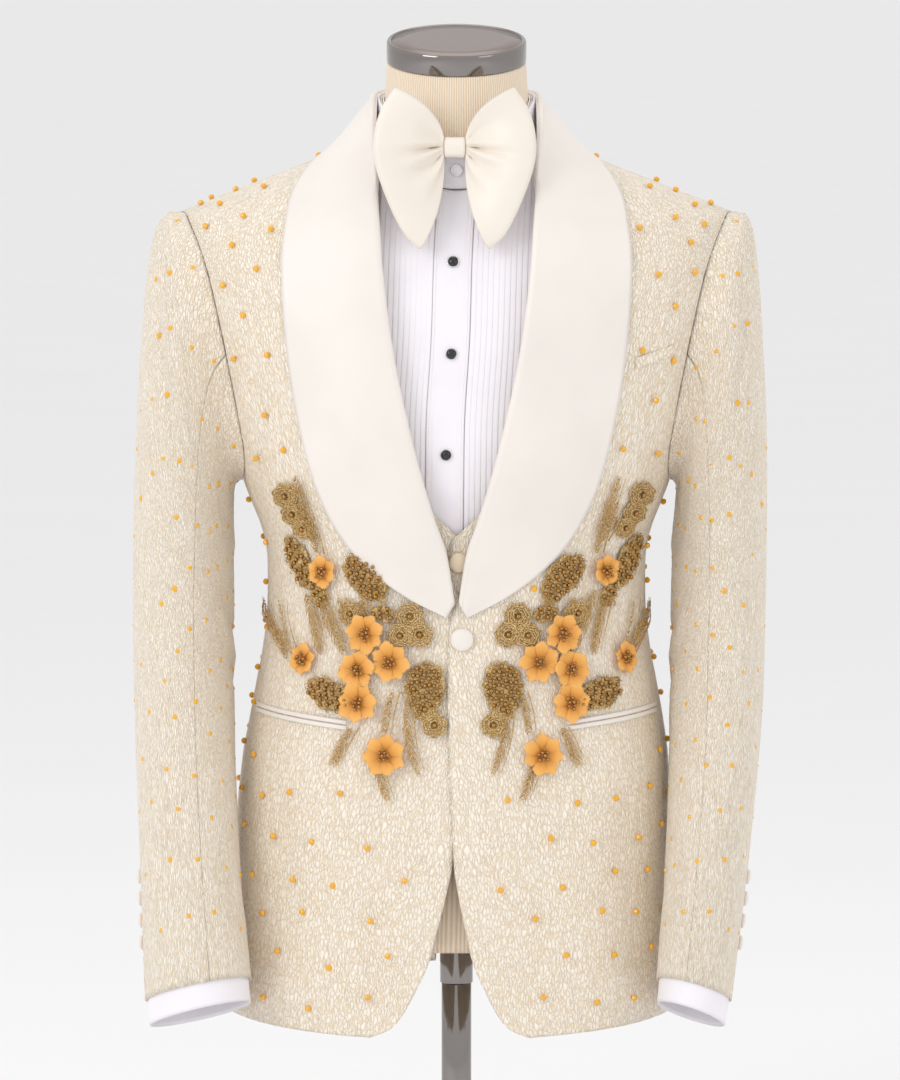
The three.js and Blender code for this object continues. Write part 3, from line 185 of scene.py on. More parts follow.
SLEEVE = table(
    "t rightX leftX outZ rightIn leftIn inZ y deep pitch hold",
    (0, 228, 228, 871, 181, 181, 648, -2, 62, 0, 1),
    (0.03, 240, 237, 867, 185, 183, 640, -2, 66, 0, 0.7),
    (0.08, 248.5, 243, 850, 186, 182, 628, -2, 71, 0, 0.35),
    (0.16, 256, 249.5, 817, 186, 180.5, 606, -4, 75, 0, 0.08),
    (0.26, 261.5, 254.5, 765, 185.5, 179.5, 580, -7, 76, 2, 0),
    (0.38, 266, 258, 690, 185, 178.5, 548, -12, 74, 4, 0),
    (0.5, 268.5, 258, 610, 185, 178, 512, -20, 70, 6, 0),
    (0.62, 268.5, 256.5, 530, 184.5, 177, 470, -33, 66, 8, 0),
    (0.74, 266.5, 253, 450, 183, 176, 415, -54, 60, 11, 0),
    (0.86, 262, 242.5, 350, 178.5, 172, 338, -84, 54, 14, 0),
    (1, 257, 227, 226, 169, 164.5, 244, -108, 50, 15, 0),
    (1.03, 255.5, 223.5, 205, 167, 163, 226, -112, 49, 15, 0),
)
TOP_SLEEVE, UNDER_SLEEVE = (-42, 105), (105, 318)


# Curves and the body's surface.
def mix(a, b, t):
    return a + (b - a) * t


def ease(t):
    t = np.clip(t, 0, 1)
    return t * t * (3 - 2 * t)


def along(rows, by, column, at):
    """The value of one column at a place between the rows, on a smooth curve."""
    x, y = rows[by], rows[column]
    last = len(x) - 1
    at = np.clip(np.asarray(at, float), x[0], x[last])
    i = np.clip(np.searchsorted(x, at, side="right") - 1, 0, last - 1)
    k = np.arange(last + 1)
    low, high = np.maximum(k - 1, 0), np.minimum(k + 1, last)
    slope = (y[high] - y[low]) / (x[high] - x[low])
    run = x[i + 1] - x[i]
    t = (at - x[i]) / run
    ends = (2 * t**3 - 3 * t**2 + 1) * y[i] + (3 * t**2 - 2 * t**3) * y[i + 1]
    return ends + run * ((t**3 - 2 * t**2 + t) * slope[i] + (t**3 - t**2) * slope[i + 1])


def ridge(x):
    return NECK_POINT_Z - SHOULDER_SLOPE * np.maximum(np.abs(x) - NECK_POINT_X, 0)


def stack(x, y, z):
    return np.stack(np.broadcast_arrays(x, y, z), axis=-1).astype(float)


def pair(u, v):
    """Places along the cloth, for its weave."""
    return stack(u, v, 0)[..., :2]


def body(side, angle, level, inset=0.0):
    """Points of the body: angle is 0 at the middle of the front and 180 at the middle of the back."""
    angle, level, inset = np.broadcast_arrays(
        np.asarray(angle, float), np.asarray(level, float), np.asarray(inset, float)
    )
    turn = np.radians(np.abs(angle))
    facing = np.where(np.cos(turn) >= 0, -1, 1)
    power = along(BODY, "level", "power", level)
    across = np.abs(np.sin(turn)) ** (2 / power) * np.sign(np.sin(turn)) * np.sign(angle)
    deep = np.abs(np.cos(turn)) ** (2 / power)
    x = side * (along(BODY, "level", "half", level) - inset) * across
    front, back = along(BODY, "level", "front", level), along(BODY, "level", "back", level)
    depth = np.where(facing < 0, front, back) - inset
    low = stack(x + along(BODY, "level", "lean", level), facing * depth * deep, level)
    rise = np.clip((level - ARMPIT) / (RIDGE_LEVEL - ARMPIT), 0, 1) * (math.pi / 2)
    fullness = 2 / np.where(facing < 0, FRONT_POWER, BACK_POWER)
    closing = np.maximum(0, np.cos(rise)) ** fullness
    y = mix(RIDGE_Y + facing * (SEAM / 2), facing * depth * deep, closing)
    high = stack(x, y, mix(ARMPIT, ridge(x) - inset, np.sin(rise)))
    return np.where((level <= ARMPIT)[..., None], low, high)


def place_at(x, z, behind=False):
    """The angle and level of the place on the front or back at x, z."""
    x, z = np.asarray(x, float), np.asarray(z, float)
    share = np.clip((z - ARMPIT) / (ridge(x) - ARMPIT), 0, 1)
    level = np.where(z <= ARMPIT, z, ARMPIT + (RIDGE_LEVEL - ARMPIT) * np.arcsin(share) / (math.pi / 2))
    out = np.minimum(1, np.abs(x) / along(BODY, "level", "half", level))
    angle = np.degrees(np.arcsin(out ** (along(BODY, "level", "power", level) / 2)))
    return (180 - angle if behind else angle * np.where(x < 0, -1, 1)), level


def place_on_top(x, y, inset=0.0):
    """The same for a place on top of the shoulders at x, y."""
    x, y = np.asarray(x, float), np.asarray(y, float)
    behind = y > RIDGE_Y
    half, front, back, power = (BODY[key][-1] for key in ("half", "front", "back", "power"))
    out = np.minimum(1, np.abs(x) / (half - inset))
    deep = (1 - out**power) ** (1 / power)
    reach = np.where(behind, (back - inset) * deep, -(front - inset) * deep)
    closing = np.clip((y - RIDGE_Y) / (reach - RIDGE_Y), 0, 1)
    rise = np.arccos(closing ** (np.where(behind, BACK_POWER, FRONT_POWER) / 2))
    angle = np.degrees(np.arcsin(out ** (power / 2)))
    level = ARMPIT + (RIDGE_LEVEL - ARMPIT) * rise / (math.pi / 2)
    return np.where(behind, 180 - angle, angle), level


def lifted(side, angle, level, out, inset=0.0):
    """Places moved out along the cloth's normal."""
    low = np.minimum(level, RIDGE_LEVEL - 6)
    spread = np.where(np.abs(angle) < 2, 2, 1)
    across = body(side, angle + spread, low, inset) - body(side, angle - spread, low, inset)
    up = body(side, angle, low + 3, inset) - body(side, angle, low - 3, inset)
    normal = np.cross(across, up) * side
    normal /= np.linalg.norm(normal, axis=-1, keepdims=True)
    return body(side, angle, level, inset) + normal * np.asarray(out, float)[..., None]


def on_front(side, x, z, out):
    angle, level = place_at(x, z)
    return lifted(side, angle, level, out)


def armhole(turn, wider=0.0):
    angle = along(ARMHOLE, "turn", "angle", turn)
    level = along(ARMHOLE, "turn", "level", turn)
    more = wider * (1 + 1.5 * np.maximum(0, np.cos(np.radians(turn))))
    away = np.where(angle < 90, -more, more)
    angle = angle + away * ease(np.abs(angle - 90) / 8 + (level > 900))
    return angle, level - wider * np.where(level < 700, 2.5, 0)


# Meshes from grids of points.
def quads(rows, columns, round_rows=False, round_columns=False):
    i = np.arange(rows if round_rows else rows - 1)[:, None]
    j = np.arange(columns if round_columns else columns - 1)[None, :]
    i2, j2 = (i + 1) % rows, (j + 1) % columns
    corners = np.broadcast_arrays(i * columns + j, i * columns + j2, i2 * columns + j2, i2 * columns + j)
    return np.stack(corners, axis=-1).reshape(-1, 4)


def caps(rows, columns):
    """The two faces that close a stack of rings."""
    return [list(range(columns))[::-1], [(rows - 1) * columns + k for k in range(columns)]]


def normals_of(grid, flip=1):
    across, up = np.gradient(grid, axis=1), np.gradient(grid, axis=0)
    normal = np.cross(across, up)
    size = np.linalg.norm(normal, axis=-1, keepdims=True)
    return flip * normal / np.maximum(size, 1e-9)


class Parts:
    """Gathers small meshes that become one piece."""

    def __init__(self):
        self.points, self.faces, self.places, self.count = [], [], [], 0

    def add(self, points, faces, uv=None):
        points = np.asarray(points, float).reshape(-1, 3)
        self.points.append(points)
        self.places.append(np.zeros((len(points), 2)) if uv is None else np.reshape(uv, (-1, 2)))
        self.faces.extend((np.asarray(face) + self.count).tolist() for face in faces)
        self.count += len(points)

    def make(self, name, material, smooth=True):
        uv = np.concatenate(self.places)
        uv = uv if uv.any() else None
        return mesh_of(name, np.concatenate(self.points), self.faces, material, smooth, uv)


def mesh_of(name, points, faces, material, smooth=True, uv=None):
    mesh = bpy.data.meshes.new(name)
    faces = faces.tolist() if isinstance(faces, np.ndarray) else faces
    mesh.from_pydata((np.asarray(points) * MM).tolist(), [], faces)
    if uv is not None:
        index = np.empty(len(mesh.loops), int)
        mesh.loops.foreach_get("vertex_index", index)
        layer = mesh.uv_layers.new(name="cloth")
        layer.data.foreach_set("uv", (uv.reshape(-1, 2)[index] * MM).ravel())
    mesh.polygons.foreach_set("use_smooth", [smooth] * len(mesh.polygons))
    mesh.materials.append(material)
    mesh.validate()
    mesh.update()
    thing = bpy.data.objects.new(name, mesh)
    bpy.context.scene.collection.objects.link(thing)
    return thing


TURN_IN = 4  # how many cells deep the turned edge of a shell is


def shell(name, grid, uv, material, thickness=1.5, flip=1):
    """A sheet with its edges turned in: the grid, and inside its border a rounded edge and a hem."""
    rows, columns = grid.shape[:2]
    normal = normals_of(grid, flip)
    depths = np.array([0, 0.45, 1, 1]) * thickness
    steps = np.array([0, 0, 0, TURN_IN])

    def padded(count):
        real = np.concatenate([np.zeros(3, int), np.arange(count), np.full(3, count - 1)])
        pad = np.concatenate([[3, 2, 1], np.zeros(count, int), [1, 2, 3]])
        inward = np.concatenate([[1, 1, 1], np.zeros(count, int), [-1, -1, -1]]) * steps[pad]
        return np.clip(real + inward, 0, count - 1), depths[pad]

    i, depth_i = padded(rows)
    j, depth_j = padded(columns)
    depth = np.maximum(depth_i[:, None], depth_j[None, :])
    picked = grid[i][:, j] - normal[i][:, j] * depth[..., None]
    faces = quads(rows + 6, columns + 6)
    if flip < 0:
        faces = faces[:, ::-1]
    return mesh_of(name, picked.reshape(-1, 3), faces, material, uv=uv[i][:, j])


def wall(name, grid, thickness, material, round_rows=False, flip=1, uv=None):
    """A closed wall on both sides of a grid. A round one closes on itself along its columns."""
    normal = normals_of(grid, flip)
    if round_rows:
        wide = np.concatenate([grid[:, -2:], grid, grid[:, :2]], axis=1)
        normal = normals_of(wide, flip)[:, 2:-2]
    outer, inner = grid + normal * thickness / 2, grid - normal * thickness / 2
    rows, columns = grid.shape[:2]
    ring = np.stack([outer, inner], axis=0)
    points = ring.reshape(-1, 3)
    layer = rows * columns
    face = quads(rows, columns, round_columns=round_rows)
    back = face[:, ::-1] + layer
    rims = []
    last = columns if round_rows else columns - 1
    j = np.arange(last)
    j2 = (j + 1) % columns
    for start, order in ((0, 1), ((rows - 1) * columns, -1)):
        rim = np.stack([start + j2, start + j, start + j + layer, start + j2 + layer], axis=-1)
        rims.append(rim[:, ::order])
    if not round_rows:
        i = np.arange(rows - 1) * columns
        for start, order in ((0, 1), (columns - 1, -1)):
            low, high = i + start, i + start + columns
            rims.append(np.stack([low, high, high + layer, low + layer], axis=-1)[:, ::order])
    faces = np.concatenate([face, back, *rims])
    if flip < 0:
        faces = faces[:, ::-1]
    if uv is not None:
        uv = np.concatenate([uv.reshape(-1, 2), uv.reshape(-1, 2)])
    return mesh_of(name, points, faces, material, uv=uv)


def spline(values, at):
    """A smooth curve through evenly counted values, along the first axis."""
    values = np.asarray(values, float)
    last = len(values) - 1
    at = np.clip(np.asarray(at, float), 0, last)
    i = np.clip(np.floor(at).astype(int), 0, last - 1)
    t = (at - i).reshape((-1,) + (1,) * (values.ndim - 1))
    p = values[i]
    q = values[i + 1]
    before = np.where((i > 0).reshape(t.shape), values[np.maximum(i - 1, 0)], 2 * p - q)
    after = np.where((i < last - 1).reshape(t.shape), values[np.minimum(i + 2, last)], 2 * q - p)
    return (
        p
        + 0.5 * t * (q - before)
        + t**2 * (before - 2.5 * p + 2 * q - 0.5 * after)
        + t**3 * (-0.5 * before + 1.5 * p - 1.5 * q + 0.5 * after)
    )


def noise(x, y, seed):
    """Smooth noise from 0 to 1, the same each run."""
    lattice = np.random.default_rng(seed).random((97, 97))
    i, j = np.floor(x).astype(int), np.floor(y).astype(int)
    s, t = ease(x - i), ease(y - j)
    corner = lambda a, b: lattice[(i + a) % 97, (j + b) % 97]
    return mix(mix(corner(0, 0), corner(1, 0), s), mix(corner(0, 1), corner(1, 1), s), t)


CRINKLE = 0.55  # the height of the cloque's ridges


def crinkle(u, v, seed=3):
    """The cloque's ridges: long, wavy and mostly upright, at places in millimetres on the cloth."""
    drift = 7 * noise(u / 16, v / 24, seed) + 3 * noise(u / 7, v / 11, seed + 1)
    ridges = 1 - np.abs(2 * noise((u + drift) / 4.6, v / 15, seed + 2) - 1)
    return CRINKLE * (ridges - 0.5)


def creases(u, v, rows):
    """Soft troughs and ridges, each along a line, deepest in its middle."""
    total = np.zeros(np.broadcast(u, v).shape)
    for u0, v0, u1, v1, depth, width in rows:
        run = np.hypot(u1 - u0, v1 - v0)
        du, dv = (u1 - u0) / run, (v1 - v0) / run
        share = ((u - u0) * du + (v - v0) * dv) / run
        off = (u - u0) * dv - (v - v0) * du + 0.12 * run * np.sin(3 * share)
        fade = ease((share + 0.3) / 0.5) * ease((1.3 - share) / 0.5)
        total += depth * np.exp(-((off / width) ** 2)) * fade
    return total


# Materials.
def colour(code, alpha=1.0):
    """A linear colour from the hex code of a display colour."""
    channels = (int(code[i : i + 2], 16) / 255 for i in (0, 2, 4))
    return (*[c / 12.92 if c <= 0.04045 else ((c + 0.055) / 1.055) ** 2.4 for c in channels], alpha)


class Nodes:
    """A material's node tree, with short calls to make and link its nodes."""

    def __init__(self, name):
        self.material = bpy.data.materials.new(name)
        self.material.use_nodes = True
        self.tree = self.material.node_tree
        self.shader = self.tree.nodes["Principled BSDF"]

    def node(self, kind, inputs=None, **settings):
        made = self.tree.nodes.new(kind)
        for key, value in settings.items():
            setattr(made, key, value)
        for key, value in (inputs or {}).items():
            if isinstance(value, bpy.types.NodeSocket):
                self.tree.links.new(value, made.inputs[key])
            else:
                made.inputs[key].default_value = value
        return made

    def math(self, operation, *values):
        return self.node("ShaderNodeMath", dict(enumerate(values)), operation=operation).outputs[0]

    def place(self, scale=(1, 1, 1), source="UV"):
        coordinates = self.node("ShaderNodeTexCoord").outputs[source]
        return self.node("ShaderNodeMapping", {"Vector": coordinates, "Scale": scale}).outputs[0]

    def noise(self, place, scale, detail=2.0, rough=0.5):
        inputs = {"Vector": place, "Scale": scale, "Detail": detail, "Roughness": rough}
        return self.node("ShaderNodeTexNoise", inputs).outputs["Fac"]

    def ramp(self, value, *stops):
        made = self.node("ShaderNodeValToRGB", {0: value})
        elements = made.color_ramp.elements
        while len(elements) < len(stops):
            elements.new(0.5)
        for element, (position, tint) in zip(elements, stops):
            element.position, element.color = position, tint
        return made.outputs[0]

    def bump(self, height, distance, strength=1.0, after=None):
        inputs = {"Height": height, "Distance": distance * MM, "Strength": strength}
        if after is not None:
            inputs["Normal"] = after
        return self.node("ShaderNodeBump", inputs).outputs[0]

    def finish(self, tint, normal=None, **values):
        if isinstance(tint, bpy.types.NodeSocket):
            self.tree.links.new(tint, self.shader.inputs["Base Color"])
        else:
            self.shader.inputs["Base Color"].default_value = tint
        if normal is not None:
            self.tree.links.new(normal, self.shader.inputs["Normal"])
        for key, value in values.items():
            self.shader.inputs[key.replace("_", " ")].default_value = value
        return self.material


def cloque():
    """Ivory jacquard: upright wavy puckers, a crinkle over them and a fine weave, with painted shade in the
    puckers' grooves.
    """
    m = Nodes("cloque")
    place = m.place()
    drift = m.node("ShaderNodeTexNoise", {"Vector": place, "Scale": 130.0, "Detail": 1.0}).outputs["Color"]
    moved = {0: drift, 1: (0.0042, 0.0042, 0.0042), 2: place}
    bent = m.node("ShaderNodeVectorMath", moved, operation="MULTIPLY_ADD").outputs[0]
    tall = m.node("ShaderNodeMapping", {"Vector": bent, "Scale": (1, 0.34, 1)}).outputs[0]
    cells = m.node("ShaderNodeTexVoronoi", {"Vector": tall, "Scale": 430.0}, feature="DISTANCE_TO_EDGE")
    heights = ((0.0, (0, 0, 0, 1)), (0.16, (0.72, 0.72, 0.72, 1)), (0.42, (1, 1, 1, 1)))
    pucker = m.ramp(cells.outputs["Distance"], *heights)
    crinkle = m.noise(tall, 620.0, 3.0, 0.62)
    patches = m.noise(place, 26.0, 1.0)
    # The relief also colours the cloth, darker in the grooves between puckers and lighter on their crests: painted
    # shade. The patches add random tone over it.
    relief = m.math("ADD", m.math("MULTIPLY", pucker, 0.5), m.math("MULTIPLY", crinkle, 0.8))
    painted_shade_and_patches = m.math("ADD", relief, m.math("MULTIPLY", patches, 0.16))
    weave = m.noise(place, 2600.0, 1.0)
    tint = m.ramp(painted_shade_and_patches, (0.5, colour("e6d3b6")), (0.74, colour("f5e9d6")), (0.98, colour("fcf5ea")))
    normal = m.bump(weave, 0.1, 0.5, m.bump(relief, 1.15, 0.9))
    return m.finish(
        tint, normal, Roughness=0.44, Sheen_Weight=0.25, Sheen_Roughness=0.4, Specular_IOR_Level=0.5
    )


def satin(name, code):
    m = Nodes(name)
    place = m.place((1, 1, 1), "Object")
    weave = m.noise(m.place((1, 1, 6), "Object"), 1500.0, 1.0)
    soft = m.noise(place, 14.0, 2.0)
    deep = tuple(c * 0.94 for c in colour(code)[:3]) + (1.0,)
    tint = m.ramp(soft, (0.3, deep), (0.7, colour(code)))
    return m.finish(
        tint, m.bump(weave, 0.04, 0.35), Roughness=0.4, Sheen_Weight=0.08, Sheen_Roughness=0.35
    )


def poplin():
    m = Nodes("poplin")
    weave = m.noise(m.place((1, 1, 1), "Object"), 2400.0, 1.0)
    soft = m.noise(m.place((1, 1, 1), "Object"), 22.0)
    tint = m.ramp(soft, (0.3, colour("f3eff5")), (0.7, colour("f8f5fa")))
    return m.finish(tint, m.bump(weave, 0.05, 0.4), Roughness=0.75, Sheen_Weight=0.15)


RIB = 2.05  # the jersey's ribs, centre to centre


def jersey():
    """Ribbed jersey: upright ribs of knit loops over the padded form, with painted shade between the ribs."""
    m = Nodes("jersey")
    place = m.place()
    wave = m.node(
        "ShaderNodeTexWave",
        {
            "Vector": place,
            "Scale": 2 * math.pi / 20 / (RIB * MM),
            "Distortion": 0.6,
            "Detail": 1.0,
            "Detail Scale": 8.0,
        },
        wave_type="BANDS",
        bands_direction="X",
    ).outputs["Fac"]
    loops = m.noise(m.place((1, 2.2, 1)), 700.0, 1.0)
    relief = m.math("ADD", wave, m.math("MULTIPLY", loops, 0.35))
    # The colour follows the ribs, darker in the troughs between them: painted shade.
    tint = m.ramp(wave, (0.0, colour("e6cdac")), (0.55, colour("f6e4cc")), (1.0, colour("fbeedb")))
    return m.finish(tint, m.bump(relief, 0.5, 0.8), Roughness=0.85, Sheen_Weight=0.3)


def metal(name, code, rough, grain=0.0):
    m = Nodes(name)
    streak = m.noise(m.place((1, 1, 40), "Object"), 90.0, 2.0)
    tint = m.ramp(streak, (0.3, tuple(c * 0.93 for c in colour(code)[:3]) + (1,)), (0.7, colour(code)))
    return m.finish(tint, m.bump(streak, 0.02, grain), Metallic=1.0, Roughness=rough)


def petal_cloth():
    """Cloth petals: darker at the foot, which is painted shade where the petals crowd in, with fine veins that run
    outwards.
    """
    m = Nodes("petal_cloth")
    place = m.place()
    along_petal = m.node("ShaderNodeSeparateXYZ", {0: place}).outputs[0]
    veins = m.noise(m.place((1.5, 16, 1)), 1.0, 1.0)
    reach = m.math("ADD", along_petal, m.math("MULTIPLY", m.math("SUBTRACT", veins, 0.5), 0.5))
    # The ramp darkens each petal towards its foot: painted shade.
    tint = m.ramp(
        reach, (0.02, colour("b0641e")), (0.26, colour("e39639")), (0.55, colour("f2aa4a")), (1.0, colour("f9be68"))
    )
    return m.finish(tint, m.bump(veins, 0.3, 0.6), Roughness=0.5, Sheen_Weight=0.2, Subsurface_Weight=0.05)


def thread(name, dark, middle, light, metallic, rough):
    """Metallic embroidery thread: a fine twist, with painted glints and painted shade in the darker gaps."""
    m = Nodes(name)
    place = m.place((1, 1, 1), "Object")
    twist_glints_and_shade = m.noise(place, 1100.0, 2.0, 0.7)
    # The ramp's light stop is a painted glint, and its dark stop is painted shade in the thread's gaps.
    tint = m.ramp(twist_glints_and_shade, (0.35, colour(dark)), (0.5, colour(middle)), (0.68, colour(light)))
    return m.finish(tint, m.bump(twist_glints_and_shade, 0.35, 0.9), Metallic=metallic, Roughness=rough)


def plain(name, code, **values):
    m = Nodes(name)
    haze = m.noise(m.place((1, 1, 1), "Object"), 300.0)
    deep = tuple(c * 0.9 for c in colour(code)[:3]) + (1.0,)
    return m.finish(m.ramp(haze, (0.3, deep), (0.7, colour(code))), m.bump(haze, 0.02, 0.3), **values)


CLOQUE = cloque()
SATIN = satin("satin", "f1eae3")
BOW_SATIN = satin("bow_satin", "f4ebe0")
COTTON = poplin()
JERSEY = jersey()
CHROME = metal("chrome", "918c89", 0.1)
BRUSHED = metal("brushed", "91837e", 0.28, 0.4)
PETAL = petal_cloth()
LACE = thread("lace", "6c4c20", "cba463", "f6e0ad", 0.12, 0.42)
FROND = thread("frond", "8a6228", "cfa560", "f6deaa", 0.15, 0.4)
ANTIQUE = metal("antique_bead", "b48a50", 0.14)
AMBER = plain("amber", "f6b524", Roughness=0.12, Coat_Weight=0.6)
PEARL = plain("pearl_button", "f1eef2", Roughness=0.22, Coat_Weight=0.4)
ONYX = plain("onyx", "08080a", Roughness=0.08, Coat_Weight=0.6)
SILVER = metal("silver", "e2e2e4", 0.16)
STITCH = plain("stitch", "efe6d8", Roughness=0.7)


def cover(thing, *nodes, slot):
    """The piece rides on the model's one body and stands for the nodes named."""
    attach(thing, "root")
    if nodes:
        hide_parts(*nodes)
    return thing


# The jacket's panels.
GRAIN, LENGTH_STEP = 1.7, 5.0  # the size of a shell's cells, across and along the cloth


def edge_places(rows, seam, v, wider=0.0):
    """Places along a panel's seam and armhole edge, at shares of the way up."""
    side = rows["side"]
    at = np.clip(np.asarray(v, float) * (len(side) - 1), 0, len(side) - 1)
    i = np.clip(np.floor(at).astype(int), 0, len(side) - 2)
    t = at - i
    low, high = side[i], side[i + 1]
    low_turn, high_turn = low >= TURNS, high >= TURNS
    angle_low, level_low = armhole(np.where(low_turn, low - TURNS, 0), wider)
    angle_high, level_high = armhole(np.where(high_turn, high - TURNS, 0), wider)
    angle_low, level_low = np.where(low_turn, angle_low, seam), np.where(low_turn, level_low, low)
    angle_high, level_high = np.where(high_turn, angle_high, seam), np.where(high_turn, level_high, high)
    both = low_turn & high_turn
    angle_round, level_round = armhole(mix(low - TURNS, high - TURNS, t) * both, wider)
    angle = np.where(both, angle_round, mix(angle_low, angle_high, t))
    return angle, np.where(both, level_round, mix(level_low, level_high, t))


def even_shares(curve, step, most=400):
    """Shares along a curve, each a step apart on it."""
    fine = np.linspace(0, 1, 600)
    points = curve(fine)
    walked = np.concatenate([[0], np.cumsum(np.linalg.norm(np.diff(points, axis=0), axis=1))])
    count = int(min(most, max(3, round(walked[-1] / step)))) + 1
    return np.interp(np.linspace(0, walked[-1], count), walked, fine)


def panel(side, start, end, foot, head, across_step=GRAIN, along_step=LENGTH_STEP):
    """Angles and levels of a dense grid between four cut edges."""
    v = even_shares(lambda t: body(side, *[mix(a, b, 0.5) for a, b in zip(start(t), end(t))]), along_step)
    widest = np.linalg.norm(body(side, *start(v)) - body(side, *end(v)), axis=-1).max()
    w = np.linspace(0, 1, int(widest * 1.08 / across_step) + 2)
    grids = []
    for k in range(2):
        a, b, low, high = start(v)[k], end(v)[k], foot(w)[k], head(w)[k]
        corners = mix(
            mix(low[0], low[-1], w)[None, :], mix(high[0], high[-1], w)[None, :], v[:, None]
        )
        rows = mix(a[:, None], b[:, None], w[None, :])
        columns = mix(low[None, :], high[None, :], v[:, None])
        grids.append(rows + columns - corners)
    return grids


def straight(a, b):
    return lambda w: tuple(mix(float(p), float(q), np.asarray(w, float)) for p, q in zip(a, b))


def at_end(edge, share):
    return tuple(np.ravel(value)[0] for value in edge(np.array([share])))


ACROSS = 2.8  # millimetres of cloth for a degree round the body, about

# Creases over each piece, in millimetres across from the middle of the front and up.
FRONT_CREASES = (
    (60, 532, 150, 556, -0.9, 9),
    (66, 516, 160, 500, 0.6, 8),
    (196, 640, 150, 720, -1.8, 13),
    (186, 700, 140, 770, 1.1, 11),
    (176, 600, 120, 585, -0.9, 8),
    (95, 235, 112, 400, 1.6, 24),
    (160, 225, 150, 390, -1.7, 19),
    (42, 240, 60, 330, -0.9, 12),
    (150, 860, 110, 905, -0.8, 12),
)
BACK_CREASES = (
    (460, 235, 455, 420, 1.8, 26),
    (400, 225, 408, 380, -1.6, 20),
    (345, 240, 350, 330, 1.2, 18),
    (330, 560, 420, 572, -1.3, 10),
    (335, 590, 440, 604, 1.0, 9),
    (325, 660, 360, 760, -2.0, 14),
    (345, 690, 385, 790, 1.3, 12),
    (430, 640, 480, 655, -0.8, 9),
)


def along_rows(points, last):
    """How far each point lies along its row, in millimetres of cloth, where the row ends at last."""
    steps = np.cumsum(np.linalg.norm(np.diff(points, axis=1), axis=2), axis=1)
    steps = np.concatenate([np.zeros((len(steps), 1)), steps], axis=1)
    return last[:, None] + steps - steps[:, -1:]


def cloth_panel(name, side, angle, level, inset, wrinkles, node, seed=3):
    points = body(side, angle, level, inset)
    u, v = along_rows(points, angle[:, -1] * ACROSS), level
    relief = crinkle(u + 500, v, seed) + creases(angle * ACROSS, v, wrinkles)
    normal = normals_of(points, side)
    grid = points + normal * (relief - CRINKLE / 2)[..., None]
    thing = shell(name, grid, pair(u, v), CLOQUE, flip=side)
    cover(thing, node, slot="cloque")


def front_edge(rows, under=0.0):
    def edge(v):
        at = np.asarray(v, float) * (len(rows["x"]) - 1)
        x, z = spline(rows["x"], np.ravel(at)), spline(rows["z"], np.ravel(at))
        lap = (under - 5) * ease((z - 345) / 60) * (1 - ease((z - 540) / 70)) if under else 0
        return place_at(x - lap, z)

    return edge


for name, side in SIDES:
    right = side < 0
    start = front_edge(FRONT_ROWS, UNDERLAP if right else 0.0)

    def end(v):
        angle, level = edge_places(FRONT_ROWS, FRONT_SEAM, v)
        return angle - SEAM_ANGLE, level

    foot = straight(at_end(start, 0), at_end(end, 0))
    head = straight(at_end(start, 1), at_end(end, 1))
    angle, level = panel(side, start, end, foot, head)
    lap = UNDERLAP_INSET * (1 - ease((angle - 14) / 10)) if right else 0.0
    cloth_panel(f"front_{name}", side, angle, level, lap, FRONT_CREASES, f"jacket_front_{name}")

    def side_start(v):
        level = np.where(v < 0.93, mix(SIDE_FOOT, 625, v / 0.93), mix(625, 663, (v - 0.93) / 0.07))
        return np.full(np.shape(v), FRONT_SEAM + SEAM_ANGLE), level

    def side_end(v):
        angle, level = side_start(v)
        return BACK_SEAM - SEAM_ANGLE + 0 * angle, level

    def underarm(w):
        angle, level = armhole(mix(150, 210, np.asarray(w, float)))
        return angle + SEAM_ANGLE * (1 - 2 * np.asarray(w, float)), level

    foot = straight(at_end(side_start, 0), at_end(side_end, 0))
    angle, level = panel(side, side_start, side_end, foot, underarm, 2.2)
    cloth_panel(f"side_{name}", side, angle, level, 0, BACK_CREASES, f"jacket_side_{name}", 7)

    def centre(v):
        at = np.asarray(v, float) * (len(BACK_ROWS["x"]) - 1)
        x, z = spline(BACK_ROWS["x"], np.ravel(at)), spline(BACK_ROWS["z"], np.ravel(at))
        return place_at(np.maximum(x, 0.2), z, True)

    def back_side(v):
        angle, level = edge_places(BACK_ROWS, BACK_SEAM, v)
        return angle + SEAM_ANGLE, level

    neck = (place_at(72, 936, True)[0], RIDGE_LEVEL)
    shoulder = 0.55

    def back_head(w):
        w = np.asarray(w, float)
        plain_part = straight(at_end(back_side, 1), neck)(w / shoulder)
        around = np.clip((w - shoulder) / (1 - shoulder), 0, 1) * (math.pi / 2)
        top = RIDGE_Y + SEAM / 2 + (62.5 - RIDGE_Y) * np.sin(around)
        curved = place_on_top(np.maximum(0.2, 72 * np.cos(around)), top)
        return tuple(np.where(w <= shoulder, a, b) for a, b in zip(plain_part, curved))

    foot = straight(at_end(back_side, 0), at_end(centre, 0))
    angle, level = panel(side, back_side, lambda v: centre(v), foot, back_head, 2.0)
    cloth_panel(f"back_{name}", side, angle, level, 0, BACK_CREASES, f"jacket_back_{name}", 11)


